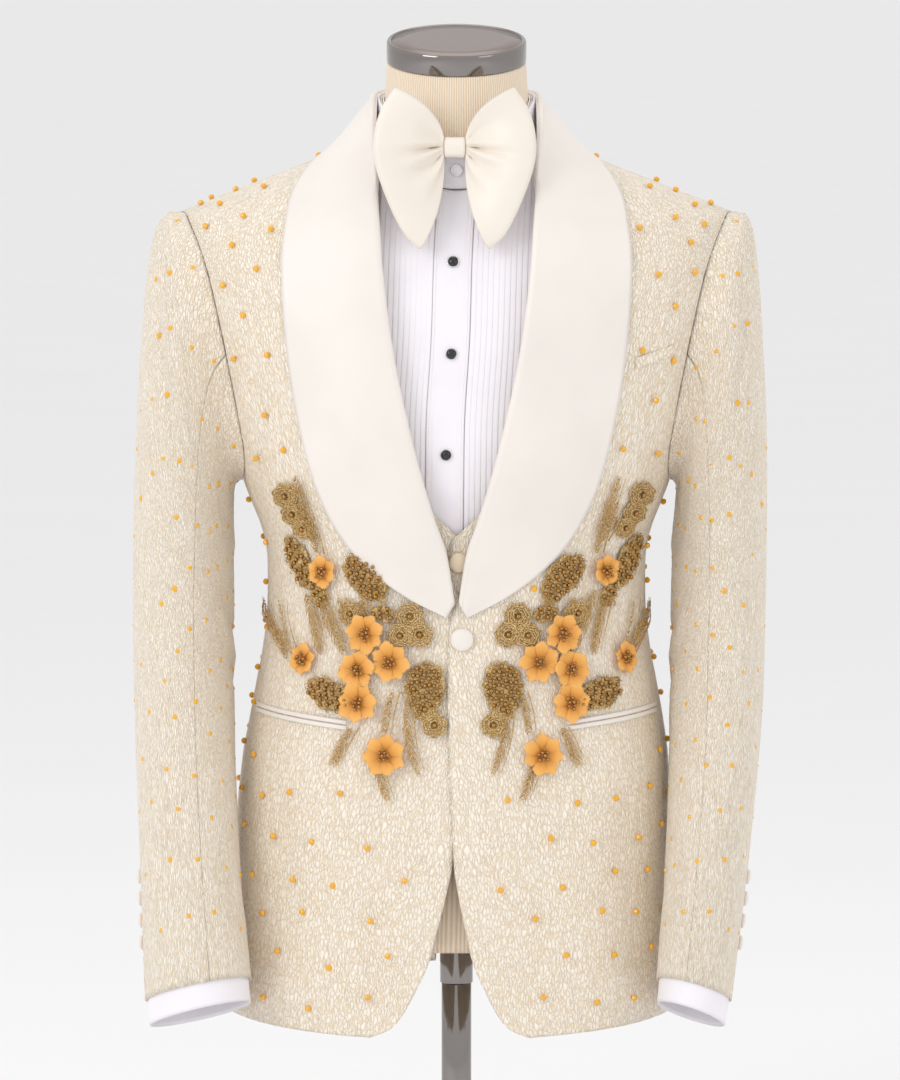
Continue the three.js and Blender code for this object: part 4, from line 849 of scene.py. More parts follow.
# The sleeves: rings of the arm's sections, held to the armhole at the top.
def sleeve_points(side, t, turn, inset=0.0):
    t, turn = np.broadcast_arrays(np.asarray(t, float), np.asarray(turn, float))
    arm = "right" if side < 0 else "left"
    at = {key: along(SLEEVE, "t", key, t) for key in SLEEVE if key != "t"}
    outer_x, inner_x = at[arm + "X"], at[arm + "In"]
    half = np.hypot(outer_x - inner_x, at["outZ"] - at["inZ"]) / 2
    narrow = (half - inset) / half
    c, s = np.cos(np.radians(turn)), np.sin(np.radians(turn))
    deep = at["deep"] - inset
    free = stack(
        side * ((outer_x + inner_x) / 2 + (outer_x - inner_x) / 2 * c * narrow),
        at["y"] - deep * s,
        (at["outZ"] + at["inZ"]) / 2
        + (at["outZ"] - at["inZ"]) / 2 * c * narrow
        + deep * s * np.tan(np.radians(at["pitch"])),
    )
    hold = at["hold"][..., None]
    root = body(1, 90, 775)
    angle, level = armhole(np.mod(turn, 360))
    held = body(side, angle, level, inset)
    hub = stack(side * root[0], root[1], held[..., 2] * 0.4 + 760 * 0.6)
    away = hub - held
    away /= np.linalg.norm(away, axis=-1, keepdims=True)
    held = held + away * (0.5 + max(0, inset - 2) * 0.8)
    held[..., 0] += side * 36 * (1 - at["hold"]) * (0.35 + 0.65 * np.maximum(0, c))
    return mix(free, held, hold)


ROUND_ARM = 1.28  # millimetres of cloth for a degree round the sleeve, about
# Creases in millimetres round from the outer edge and down from the armhole.
SLEEVE_CREASES = (
    (20, 60, 60, 220, 0.9, 14),
    (60, 30, 96, 170, -1.5, 12),
    (95, 40, 128, 150, 1.1, 10),
    (95, 250, 30, 300, -1.2, 11),
    (110, 285, 40, 335, 1.3, 12),
    (120, 330, 60, 365, -1.3, 10),
    (40, 360, 100, 420, 0.8, 13),
    (20, 500, 90, 560, -0.7, 12),
    (180, 60, 210, 160, -1.6, 12),
    (225, 50, 245, 150, 1.3, 11),
    (180, 260, 250, 300, -1.5, 11),
    (185, 300, 260, 345, 1.4, 12),
    (200, 350, 270, 385, -1.1, 10),
    (250, 430, 330, 470, 0.9, 14),
    (300, 90, 330, 230, -1.0, 14),
    (210, 520, 250, 590, -0.8, 13),
)
SLEEVE_LENGTH = 640


def sleeve_relief(turn, t, seed):
    u, v = turn * ROUND_ARM, t * SLEEVE_LENGTH
    return crinkle(u + 300, -v + 900, seed) + creases(u, v, SLEEVE_CREASES) * ease(t / 0.08)


for name, side in SIDES:
    for piece, (first, last) in (("top", TOP_SLEEVE), ("under", UNDER_SLEEVE)):
        turns = np.linspace(first + 0.15, last - 0.15, int((last - first) * 1.36 / GRAIN))
        shares = np.linspace(0, 1, 132)
        t, turn = np.meshgrid(shares[::-1], turns, indexing="ij")
        points = sleeve_points(side, t, turn)
        normal = normals_of(points, -side)
        grid = points + normal * (sleeve_relief(turn, t, 5 + side) - CRINKLE / 2)[..., None]
        uv = pair(turn * ROUND_ARM, -t * SLEEVE_LENGTH)
        thing = shell(f"{piece}_sleeve_cloth_{name}", grid, uv, CLOQUE, flip=-side)
        cover(thing, f"jacket_{piece}_sleeve_{name}", slot="cloque")

# The shawl: the fall across each row, up to the roll, over it and back under.
LAPEL_WALL, FALL_COLUMNS = 1.8, 5
FLAT = 1.5 + LAPEL_WALL / 2
LAPEL_ROLL = ((1.8, 6.6), (-0.4, 5.4), (-0.6, 3.9), (1.4, 2.6), (8, FLAT))
COLLAR_ROLL = ((1.6, -0.9), (0, 0), (-1.6, -1), (-2.3, -5))


def lapel_row(side, row):
    roll = np.array([along(LAPEL, "row", key, row) for key in ("rollX", "rollZ")])
    edge = np.array([along(LAPEL, "row", key, row) for key in ("edgeX", "edgeZ")])
    width = float(np.hypot(*(edge - roll)))
    full = min(1, width / 60)

    def place(back, out):
        x, z = mix(roll, edge, back / width)
        return on_front(side, x, z, out)

    points = []
    for k in range(FALL_COLUMNS + 1):
        t = k / FALL_COLUMNS
        points.append(place(mix(width, min(5, width * 0.3), t), mix(FLAT, mix(4.2, 6.7, full), ease(t))))
    for back, out in LAPEL_ROLL:
        points.append(place(min(back, width * 0.45), mix(FLAT + (out - FLAT) * 0.6, out, full)))
    return points


def collar_row(side, row):
    at = {key: COLLAR[key][row] for key in COLLAR}
    roll = np.array([side * at["rollX"], at["rollY"], at["rollZ"]])
    edge = lifted(side, *place_on_top(at["edgeX"], at["edgeY"]), FLAT)
    seam = lifted(side, *place_on_top(at["seamX"], at["seamY"]), FLAT + 1)
    away = np.array([roll[0], roll[1] - NECK_Y, 0])
    away /= np.linalg.norm(away)
    up = np.array([0, 0, 1])
    crest = roll + away * 2.3 - up * 3.5
    points = []
    for k in range(FALL_COLUMNS + 1):
        t = k / FALL_COLUMNS
        bulge = 3 * math.sin(math.pi * t)
        points.append(mix(edge, crest, t) + away * bulge * 0.5 + up * bulge * 0.8)
    points += [roll + away * by + up * rise for by, rise in COLLAR_ROLL]
    return points + [seam]


for name, side in SIDES:
    rows = [lapel_row(side, i / 11 * 10) for i in range(12)] + [collar_row(side, i) for i in range(7)]
    rows = np.array(rows)
    rows[-1, :, 0] = side * 0.2
    dense = spline(rows, np.linspace(0, len(rows) - 1, 190))
    across = np.concatenate([np.linspace(0, 5, 26), np.linspace(5, 10, 26)[1:]])
    dense = spline(dense.transpose(1, 0, 2), across).transpose(1, 0, 2)
    belly = np.sin(np.pi * np.clip(across / 5, 0, 1)) * 1.1
    length = np.linspace(0, 1, 190)
    wave = 0.5 * np.sin(length * 9 + side)[:, None] * belly[None, :]
    dense = dense + normals_of(dense, -side) * (belly[None, :] * 0.5 + wave)[..., None]
    dense[-1, :, 0] = side * 0.2
    thing = wall(f"shawl_{name}", dense, LAPEL_WALL, SATIN, flip=-side)
    cover(thing, f"shawl_collar_{name}", slot="satin")


# What is laid on the jacket: jets, a welt, buttons and a worked buttonhole.
def laid(side, start, end, out, wide, high):
    """The grid of a padded strip on the front, between two ends given as x and z."""
    t = np.linspace(0, 1, 46)
    profile = np.linspace(-1, 1, 9)
    x = mix(start[0], end[0], t)[:, None]
    z = mix(start[1], end[1], t)[:, None] + profile[None, :] * wide / 2
    ends = ease(t / 0.02) * ease((1 - t) / 0.02)
    lift = out + high * np.sqrt(np.maximum(0, 1 - profile**4))[None, :] * ends[:, None]
    return on_front(side, x + 0 * z, z, lift)


for name, side in SIDES:
    parts = Parts()
    for offset in (2.25, -2.25):
        grid = laid(side, (90, 455.5 + offset), (165.5, 462.5 + offset), 1.0, 3.7, 1.1)
        face = quads(*grid.shape[:2])
        parts.add(grid, face if side < 0 else face[:, ::-1])
    cover(parts.make(f"jets_{name}", SATIN), f"pocket_jets_{name}", slot="satin")
grid = laid(1, (146, 752.5), (178, 761.5), 0.9, 9, 1.1)
welt_uv = pair(grid[..., 0] + 90, grid[..., 2])
welt = mesh_of("welt_cloth", grid.reshape(-1, 3), quads(*grid.shape[:2])[:, ::-1], CLOQUE, uv=welt_uv)
cover(welt, "breast_welt", slot="cloque")


def turned(profile, centre, axis, count=40):
    """Points and faces of a profile of (radius, height) turned about an axis."""
    axis = np.asarray(axis, float) / np.linalg.norm(axis)
    first = np.cross([0, 0, 1], axis)
    first = np.array([1.0, 0, 0]) if np.linalg.norm(first) < 0.1 else first / np.linalg.norm(first)
    second = np.cross(axis, first)
    turn = np.linspace(0, 2 * math.pi, count, endpoint=False)
    round_ = np.cos(turn)[:, None] * first + np.sin(turn)[:, None] * second
    rings = [np.asarray(centre) + radius * round_ + height * axis for radius, height in profile]
    faces = quads(len(profile), count, round_columns=True).tolist() + caps(len(profile), count)
    return np.array(rings).reshape(-1, 3), faces


def domed(diameter, height):
    """A covered button's profile: a rounded rim and a low dome."""
    radius = diameter / 2
    rim = [(radius * 0.8, 0), (radius * 0.95, height * 0.12), (radius, height * 0.38)]
    dome = [(radius * math.cos(a), height * (0.42 + 0.58 * math.sin(a))) for a in np.linspace(0.25, 1.5, 8)]
    return rim + dome


def front_normal(x, z, inset=0.0):
    angle, level = place_at(x, z)
    low, high = lifted(1, angle, level, 0.0, inset), lifted(1, angle, level, 1.0, inset)
    return low, high - low


def turned_piece(name, node, place, normal, profile, material, slot, count=40):
    parts = Parts()
    parts.add(*turned(profile, place, normal, count))
    cover(parts.make(name, material), *node, slot=slot)


low, out = front_normal(4.4, 527)
turned_piece("main_button", ["jacket_button"], low + out * 0.5, out, domed(19, 5.4), SATIN, "satin")
for name, side in SIDES:
    for k in range(4):
        tag = f"{name}_{k + 1}"
        place = sleeve_points(side, 0.885 + 0.02 * k, -14.0)
        around = sleeve_points(side, 0.885 + 0.02 * k, -10.0) - sleeve_points(side, 0.885 + 0.02 * k, -18.0)
        down = sleeve_points(side, 0.895 + 0.02 * k, -14.0) - sleeve_points(side, 0.875 + 0.02 * k, -14.0)
        normal = np.cross(around, down)
        normal = normal / np.linalg.norm(normal) * np.sign(normal[0] * side)
        cuff_button = (place + normal * 0.5, normal, domed(12.5, 4.1), SATIN, "satin")
        turned_piece(f"cuff_button_{tag}", [f"sleeve_button_{tag}"], *cuff_button)

# The waistcoat's fronts, which show as a small V.
for name, side in SIDES:
    start = front_edge(VEST_ROWS)

    def end(v):
        angle, level = edge_places(VEST_ROWS, INNER_SEAM, v, VEST_WIDER)
        return np.where(v > 0.97, 68, angle) - SEAM_ANGLE, level

    foot = straight(at_end(start, 0), at_end(end, 0))
    head = straight(at_end(start, 1), at_end(end, 1))
    angle, level = panel(side, start, end, foot, head, 3.0, 5.0)
    lap = VEST_UNDERLAP * (1 - ease((angle - 14) / 10)) if side < 0 else 0.0
    cloth_panel(
        f"vest_front_{name}", side, angle, level, VEST_INSET + lap, (), f"waistcoat_front_{name}", 13
    )
low, out = front_normal(2, 590, VEST_INSET)
turned_piece("vest_button", ["waistcoat_button"], low + out * 0.75, out, domed(16.6, 3.2), CLOQUE, "cloque")

# The shirt: pin tucks beside a placket, the collar and the cuffs.
PLEAT, PITCH, PLEATS = 0.9, 4.6, {"left": 12, "right": 10}
PLACKET_INSET, PLACKET_HALF = 12, 15.5
SHIRT_INSET, SHIRT_HEM = 12.8, 440
RING_ACROSS, RING_FRONT, RING_BACK, RING_WALL = 61.8, 64.5, 64, 1
BAND_OUT, FALL_OUT = 1.9, 3.6
PLACKET_LINE = table("level x", (440, -10), (680, -9.5), (740, -5), (795, -3), (850, 0))


def neck_top(x):
    reach = RING_ACROSS + 3
    y = NECK_Y - (RING_FRONT + 3) * np.sqrt(np.maximum(0, 1 - (x / reach) ** 2))
    top = place_on_top(np.minimum(np.abs(x), reach), y, SHIRT_INSET)[1]
    return np.where(np.abs(x) >= reach, RIDGE_LEVEL, top)


def shirt_front(offset, share):
    offset, share = np.broadcast_arrays(np.asarray(offset, float), np.asarray(share, float))
    level = mix(SHIRT_HEM, neck_top(offset * 1.02), share)
    x = offset + along(PLACKET_LINE, "level", "x", level)
    out = np.minimum(1, np.abs(x) / (along(BODY, "level", "half", level) - SHIRT_INSET))
    angle = np.degrees(np.arcsin(out ** (along(BODY, "level", "power", level) / 2)))
    return angle * np.where(x < 0, -1, 1), level


for name, side in SIDES:
    first = PLACKET_HALF + SEAM
    last = first + PITCH * PLEATS[name] + 1
    steps = np.array([0, 0.12, 0.3, 0.55, 0.78, 0.9, 0.97])
    high = np.array([0.1, 0.3, 0.55, 0.8, 1.0, 0.85, 0.25])
    offsets = np.concatenate([first + PITCH * (k + steps) for k in range(PLEATS[name])] + [[last]])
    rise = np.concatenate([np.tile(high, PLEATS[name]), [0.1]])
    shares = np.linspace(0.1, 1.012, 90)
    angle, level = shirt_front(side * offsets[None, :], shares[:, None])
    wobble = 0.12 * noise(offsets[None, :] / 5, level / 30, 21)
    points = body(1, angle, level, SHIRT_INSET - (0.55 * PLEAT * rise[None, :] - wobble))
    thing = shell(f"bib_{name}", points, pair(offsets[None, :] + 0 * level, level), COTTON, 0.9, side)
    cover(thing, f"shirt_bib_{name}", slot="cotton")
shares = np.linspace(0.1, 1.012, 110)
offsets = np.linspace(-PLACKET_HALF, PLACKET_HALF, 25)
angle, level = shirt_front(offsets[None, :], shares[:, None])
dip = 0.45 * np.exp(-(((np.abs(offsets) - 11.8) / 0.7) ** 2))
points = body(1, angle, level, PLACKET_INSET + dip[None, :])
thing = shell("placket_cloth", points, pair(offsets[None, :] + 0 * level, level), COTTON, 1.4)
cover(thing, "shirt_placket", slot="cotton")


def neck_point(turn, up, out):
    turn, up, out = np.broadcast_arrays(*(np.asarray(a, float) for a in (turn, up, out)))
    c, s = np.cos(np.radians(turn)), np.sin(np.radians(turn))
    front = np.maximum(c, 0)
    low = np.where(c > 0, 925 - 31.5 * front**1.6, 925 + 8 * c)
    high = np.where(c > 0, 966 - 36 * front**1.3, 966 - 5 * c)
    taper = up * 1.6
    reach = np.where(c > 0, RING_FRONT, RING_BACK)
    return stack((RING_ACROSS - taper + out) * s, NECK_Y - (reach - taper + out) * c, mix(low, high, up))


def neck_band(name, first, last, up, out, thickness, material, node, slot):
    v, turn = np.meshgrid(np.linspace(0, 1, 14), np.linspace(first, last, 150), indexing="ij")
    grid = neck_point(turn, up(v, turn), out(v, turn) + thickness / 2)
    if grid[0, 0, 2] > grid[-1, 0, 2]:
        grid = grid[::-1]
    thing = wall(name, grid, thickness, material, flip=1)
    cover(thing, node, slot=slot)


def fall_drop(turn):
    return 0.35 * ease((np.abs(180 - turn) - 110) / 55)


neck_band(
    "stand_cloth", -179.7, 179.7, lambda v, turn: v, lambda v, turn: 0 * v, RING_WALL, COTTON,
    "shirt_collar_stand", "cotton",
)
neck_band(
    "fall_cloth", 14, 346, lambda v, turn: mix(1.03, 0.3 - fall_drop(turn), v),
    lambda v, turn: FALL_OUT + v * (0.3 + 9 * fall_drop(turn)), RING_WALL, COTTON,
    "shirt_collar_fall", "cotton",
)
neck_band(
    "band_cloth", -179.7, 179.7, lambda v, turn: mix(0.76, 1, v), lambda v, turn: BAND_OUT + 0 * v,
    0.8, BOW_SATIN, "bow_band", "satin",
)
for name, side in SIDES:
    t, turn = np.meshgrid(np.linspace(1.03, 0.93, 22), np.linspace(0, 360, 121)[:-1], indexing="ij")
    grid = sleeve_points(side, t, turn, 3.3)
    thing = wall(f"cuff_{name}", grid, 1.6, COTTON, round_rows=True, flip=-side)
    cover(thing, f"shirt_cuff_{name}", slot="cotton")

STUDS = ((-3, 843.5), (-4.6, 766), (-9.3, 680))
for k, (x, z) in enumerate(STUDS):
    low, out = front_normal(x, z, PLACKET_INSET)
    rim = [(3.9, 0), (4.9, 0.5), (5.0, 1.3), (4.7, 1.8), (4.25, 1.9), (4.2, 1.5)]
    stone = [(4.2, 1.3), (4.0, 1.9), (3.3, 2.7), (2.1, 3.3), (0.8, 3.5)]
    turned_piece(f"stud_rim_{k + 1}", [f"stud_{k + 1}"], low + out * 0.15, out, rim, SILVER, "onyx")
    turned_piece(f"stud_stone_{k + 1}", [], low + out * 0.15, out, stone, ONYX, "onyx")
place = neck_point(0, 0.42, RING_WALL + 0.4)
shirt_button = [(3.8, 0), (5.0, 0.4), (5.25, 1.1), (4.9, 1.9), (4.3, 2.3), (3.7, 2.0), (3.3, 1.4)]
shirt_button += [(1.6, 1.3), (0.5, 1.35)]
turned_piece("neck_button", ["collar_button"], place, (0, -1, 0), shirt_button, PEARL, "button")

# The bow tie: each wing a soft loop with folds that run out from the knot.
WING = table(
    "up knotZ foldX foldZ bendX bendZ y thick",
    (0, 919, 27, 847, 7, 880, -111, 5),
    (0.12, 921, 39, 858, 15, 888, -109, 7),
    (0.3, 924, 52, 883, 25, 903, -104, 10),
    (0.5, 928, 63, 915, 33, 921, -98, 12),
    (0.7, 931, 64, 938, 34, 937, -94, 11),
    (0.88, 934, 58, 960, 26, 952, -91, 8),
    (1, 936, 47, 977, 13, 962, -90, 6),
)
KNOT_X, KNOT_Z, KNOT_HALF, KNOT_HIGH, KNOT_Y, KNOT_DEEP = -1.5, 928, 10.5, 8.6, -79.1, 6.4
# Folds of a wing: their height on it, how steeply they climb, their depth and width.
WING_FOLDS = (
    (0.3, 0.16, -3.6, 0.05),
    (0.46, 0.02, 3.0, 0.05),
    (0.56, -0.02, -4.4, 0.045),
    (0.7, -0.1, 3.4, 0.06),
    (0.14, 0.2, 2.2, 0.06),
    (0.84, 0.06, -2.2, 0.07),
)


def wing_layer(side, up, across, layer):
    at = {key: along(WING, "up", key, up) for key in WING if key != "up"}
    start = KNOT_HALF - 1.4
    x = (1 - across) ** 2 * start + 2 * across * (1 - across) * at["bendX"] + across**2 * at["foldX"]
    z = (1 - across) ** 2 * at["knotZ"] + 2 * across * (1 - across) * at["bendZ"] + across**2 * at["foldZ"]
    apart = at["thick"] / 2 * np.minimum(1, 0.3 + 1.4 * across) + 2.5 * np.sin(math.pi * across)
    folds = 0
    for height, climb, depth, width in WING_FOLDS:
        off = (up - height - climb * across * (1 + 0.2 * side)) / (width * (0.6 + 1.2 * across))
        fold = depth * np.exp(-(off**2)) * ease(across / 0.12)
        folds = folds + fold * (1 - 0.85 * ease((across - 0.3) / 0.6))
    y = mix(KNOT_Y - 1, at["y"], ease(across)) - layer * (apart + folds * (layer > 0))
    return stack(KNOT_X + side * x, y, z)


for name, side in SIDES:
    ups = np.linspace(0, 1, 61)[:, None]
    across = np.linspace(0, 0.96, 44)[None, :]
    front, back = wing_layer(side, ups, across, 1), wing_layer(side, ups, across[:, ::-1], -1)
    turn = np.linspace(0, math.pi, 9)[None, 1:-1]
    fold = wing_layer(side, ups, np.ones((1, 1)), np.cos(turn))
    fold[..., 0] += side * 1.5 * np.sin(turn)
    grid = np.concatenate([front, fold, back], axis=1)
    thing = wall(f"wing_{name}", grid, 1.2, BOW_SATIN, flip=side)
    cover(thing, f"bow_wing_{name}", slot="satin")
share = np.linspace(-1, 1, 25)[:, None]
turn = np.linspace(0, 2 * math.pi, 48, endpoint=False)[None, :]
narrow = np.minimum(1, 0.72 + 2.2 * (1 - np.abs(share))) * (1 + 0.05 * np.cos(share * 1.5))
ripple = 1 + 0.035 * np.sin(turn * 5 + share) * np.cos(share * 1.4)
knot = stack(
    KNOT_X + share * (KNOT_HALF - 1.9) + 0 * turn,
    KNOT_Y - KNOT_DEEP * narrow * ripple * np.cos(turn),
    KNOT_Z + KNOT_HIGH * narrow * np.sin(turn) * (1 - 0.08 * (1 - share**2)),
)
faces = quads(25, 48, round_columns=True).tolist() + caps(25, 48)
thing = mesh_of("knot_cloth", knot.reshape(-1, 3), faces, BOW_SATIN)
cover(thing, "bow_knot", slot="satin")

# The dress form and its stand.
FORM_INSET, FORM_SIDES = 21.6, 160
FORM_FOOT = table("level inset", (264, 12), (264.6, 7.5), (266, 3.5), (268.5, 1), (272, 0))
NECK = table(
    "z across y deep pitch",
    (850, 66, -2, 66, 0),
    (930, 60.6, -6, 61.5, 3),
    (960, 59.6, -6, 60, 7),
    (996, 57.5, -6, 57.5, 11.6),
)
CAP_Z, CAP_Y, CAP_PITCH = 996.4, -6, 11.6


def pitched(y, z, dx, dy, dz, pitch):
    c, s = np.cos(np.radians(pitch)), np.sin(np.radians(pitch))
    return stack(dx, y + dy * c - dz * s, z + dy * s + dz * c)


levels = np.concatenate([FORM_FOOT["level"], np.linspace(276, 949.5, 110)])
rounding = np.interp(levels, FORM_FOOT["level"], FORM_FOOT["inset"])
angles = np.linspace(-180, 180, FORM_SIDES + 1)[:-1] + 1.12
torso = body(1, angles[None, :], levels[:, None], FORM_INSET + rounding[:, None])
heights = np.linspace(850, 996, 60)
at = {key: along(NECK, "z", key, heights)[:, None] for key in NECK}
turn = np.linspace(-math.pi, math.pi, FORM_SIDES, endpoint=False)[None, :]
sideways, ahead = at["across"] * np.sin(turn), -at["deep"] * np.cos(turn)
neck_grid = pitched(at["y"], at["z"], sideways, ahead, 0, at["pitch"])
form_parts = Parts()
for grid in (torso, neck_grid):
    faces = quads(len(grid), FORM_SIDES, round_columns=True).tolist() + caps(len(grid), FORM_SIDES)
    form_parts.add(grid, faces)
torso_uv = pair(angles[None, :] * 2.6 + 0 * levels[:, None], levels[:, None] + 0 * angles[None, :])
neck_uv = pair(np.degrees(turn) * 1.05 + 0 * heights[:, None], heights[:, None] + 0 * turn)
uv = np.concatenate([torso_uv.reshape(-1, 2), neck_uv.reshape(-1, 2)])
form = mesh_of("form_jersey", np.concatenate(form_parts.points), form_parts.faces, JERSEY, uv=uv)
cover(form, "form_torso", slot="jersey")

tilt = math.radians(CAP_PITCH)
cap_axis = np.array([0, -math.sin(tilt), math.cos(tilt)])
cap_centre = np.array([0, CAP_Y, CAP_Z])
band = [(57.2, 0), (57.7, 0.3), (57.9, 1.0), (57.9, 15.6), (57.6, 16.8), (56.8, 17.7), (55.6, 18)]
band += [(54.8, 17.8), (54.4, 17.2)]
plate = [(54.3, 17.0), (54.2, 17.3), (40, 17.35), (20, 17.4), (3, 17.4)]
turned_piece("cap_band", ["neck_cap"], cap_centre, cap_axis, band, CHROME, "chrome", 120)
turned_piece("cap_plate", [], cap_centre, cap_axis, plate, BRUSHED, "chrome", 120)
STAND = {
    "pole_collar": [(13.2, 224), (13.7, 224.4), (13.8, 225.2), (13.8, 262), (13.6, 263.2), (13.2, 263.6)],
    "pole": [(12.3, 20.4), (12.5, 20.8), (12.5, 223.2), (12.3, 223.6)],
    "base": [
        (153.5, 0), (154.7, 0.7), (155, 1.8), (155, 6.6), (154.4, 8.4), (152.4, 9.5), (148, 9.9),
        (110, 10.9), (60, 12), (34, 13.2), (24, 15.2), (20.5, 17.6), (19.4, 19.2), (18.4, 20),
    ],
}
for node, profile in STAND.items():
    turned_piece(f"{node}_chrome", [node], (0, 0, 0), (0, 0, 1), profile, CHROME, "chrome", 128)

# What the jacket covers keeps its solid and takes its cloth's material.
HIDDEN = {
    "waistcoat_back": SATIN,
    "shirt_front_left": COTTON,
    "shirt_front_right": COTTON,
    "shirt_back": COTTON,
    "shirt_sleeve_left": COTTON,
    "shirt_sleeve_right": COTTON,
}
for node, material in HIDDEN.items():
    data = bpy.data.objects[node].data
    data.materials.clear()
    data.materials.append(material)

# The sprays: cloth flowers with beaded hearts, beaded lace, rosettes and fronds of metallic thread.
FLOWERS = table(
    "x z across petals tilt lean",
    (114, 581, 28, 6, 0.4, 0.1),
    (80, 531, 34, 7, 0.1, -0.1),
    (60.5, 508, 35, 7, 0.5, 0.15),
    (86.5, 501, 33, 6, -0.2, 0.0),
    (130, 507, 28, 6, 0.7, 0.5),
    (86.5, 474, 35, 7, 0.2, -0.15),
    (64.5, 432, 36, 7, -0.1, 0.1),
)
# Beaded lace: its middle, how long and wide it is and how it leans in degrees.
LACE_PATCHES = table(
    "x z long wide lean",
    (134, 587, 46, 17, 68),
    (80, 577, 46, 26, 50),
    (32, 487, 44, 32, 98),
    (110, 480, 38, 25, 18),
    (118, 561, 22, 12, 80),
    (66, 548, 20, 13, 20),
)
ROSETTES = table(
    "x z across",
    (145, 643, 20),
    (139, 628, 18),
    (131, 616, 16),
    (92, 547, 19),
    (44, 546, 21),
    (52, 530, 19),
    (36, 531, 20),
    (32, 470, 19),
    (24, 457, 19),
)
# Fronds of thread: where each starts, its heading in degrees, its length, width and bend.
FRONDS = table(
    "x z heading long wide bend",
    (113, 596, 79, 66, 9, -10),
    (117, 606, 60, 34, 8, 18),
    (112, 566, 252, 54, 12, -8),
    (122, 562, 252, 50, 10, 10),
    (76, 570, 266, 28, 9, 6),
    (138, 506, 66, 46, 9, -12),
    (138, 512, 50, 42, 5, 24),
    (136, 516, 74, 38, 3, 8),
    (85, 454, 300, 34, 10, -8),
    (66, 432, 258, 38, 9, -10),
    (40, 478, 276, 62, 9, -28),
    (52, 484, 288, 34, 8, -12),
    (96, 560, 240, 36, 9, 12),
)
SPRAY_SHIFT = 6  # the two sprays lie this much to the wearer's left of a mirrored pair
SPRAY_OUT = 2.2


def ball(centre, radius, rings=6, sides=9, squash=1.0, axis=(0, 0, 1)):
    tilt = np.linspace(0.12, math.pi - 0.12, rings)
    profile = [(radius * math.sin(a), -radius * squash * math.cos(a)) for a in tilt]
    return turned(profile, centre, axis, sides)


def on_spray(side, x, z, out):
    return on_front(side, x + SPRAY_SHIFT * side, z, out)


def spray_frame(side, x, z, out):
    """A place on the front with its normal and its two directions along the cloth."""
    here = on_spray(side, x, z, out)
    normal = on_spray(side, x, z, out + 1.0) - here
    right = on_spray(side, x + 1.0, z, out) - here
    right -= normal * right.dot(normal)
    right /= np.linalg.norm(right)
    return here, normal, right, np.cross(normal, right) * (1 if side > 0 else -1)


def add_petals(parts, hearts, side, row, rng):
    x, z, across, petals, tilt, lean = row
    here, normal, right, up = spray_frame(side, x, z, SPRAY_OUT + 1.0)
    radius = across / 2
    s, t = np.meshgrid(np.linspace(0, 1, 12), np.linspace(-1, 1, 11), indexing="ij")
    for k in range(int(petals)):
        turn = tilt + k * 2 * math.pi / petals + rng.uniform(-0.1, 0.1)
        reach = radius * rng.uniform(0.94, 1.08)
        half = math.tan(math.pi / petals) * 0.7 * reach * rng.uniform(0.94, 1.06)
        width = half * np.interp(s, (0, 0.2, 0.45, 0.7, 0.88, 1), (0.3, 0.46, 0.8, 1, 0.88, 0.46))
        dents = 0.11 * np.exp(-(((t - 0.2) / 0.16) ** 2)) + 0.08 * np.exp(-(((t + 0.45) / 0.14) ** 2))
        notch = 1 - dents * s**6
        corner = 1 - 0.2 * np.abs(t) ** 2.6 * s**3
        ahead = reach * (0.08 + 0.92 * s) * notch * corner
        layer = k % 2 * 2 - 1
        rise = 3.6 * s**1.1 - 1.9 * s**4 + rng.uniform(-0.5, 0.9) * s**2
        cup = 0.8 * layer - 1.3 * layer * t**2 * s + 0.22 * np.cos(t * 11) * s * (1 - 0.6 * s)
        cup = cup - 0.5 * np.exp(-((t / 0.1) ** 2)) * s
        height = rise + cup + 1.6 * lean * s * math.sin(turn)
        side_step = t * width
        a = ahead * np.cos(turn) - side_step * np.sin(turn)
        b = ahead * np.sin(turn) + side_step * np.cos(turn)
        grid = here + a[..., None] * right + b[..., None] * up + (height + 0.9)[..., None] * normal
        face = quads(12, 11)
        uv = np.stack([s, t + 4 * k], axis=-1) / MM
        parts.add(grid, face, uv)
        parts.add(grid - 0.3 * normal, face[:, ::-1], uv)
    for k in range(8):
        turn = tilt * 3 + k * 2.4
        off = 0.7 + 5.0 * math.sqrt(k / 8)
        place = here + off * math.cos(turn) * right + off * math.sin(turn) * up
        hearts.add(*ball(place + normal * (4.4 + rng.uniform(-0.5, 1.4)), rng.uniform(1.35, 1.75)))


def strand(parts, path, radius, sides=4, tip=0.25):
    """A thin tapered thread along a few points."""
    path = np.asarray(path, float)
    heading = np.gradient(path, axis=0)
    heading /= np.linalg.norm(heading, axis=1, keepdims=True)
    first = np.cross(heading, [0.31, 0.9, 0.27])
    first /= np.linalg.norm(first, axis=1, keepdims=True)
    second = np.cross(heading, first)
    turn = np.linspace(0, 2 * math.pi, sides, endpoint=False)
    size = radius * np.linspace(1, tip, len(path))[:, None, None]
    ring = np.cos(turn)[None, :, None] * first[:, None] + np.sin(turn)[None, :, None] * second[:, None]
    faces = quads(len(path), sides, round_columns=True).tolist() + caps(len(path), sides)
    parts.add(path[:, None] + size * ring, faces)


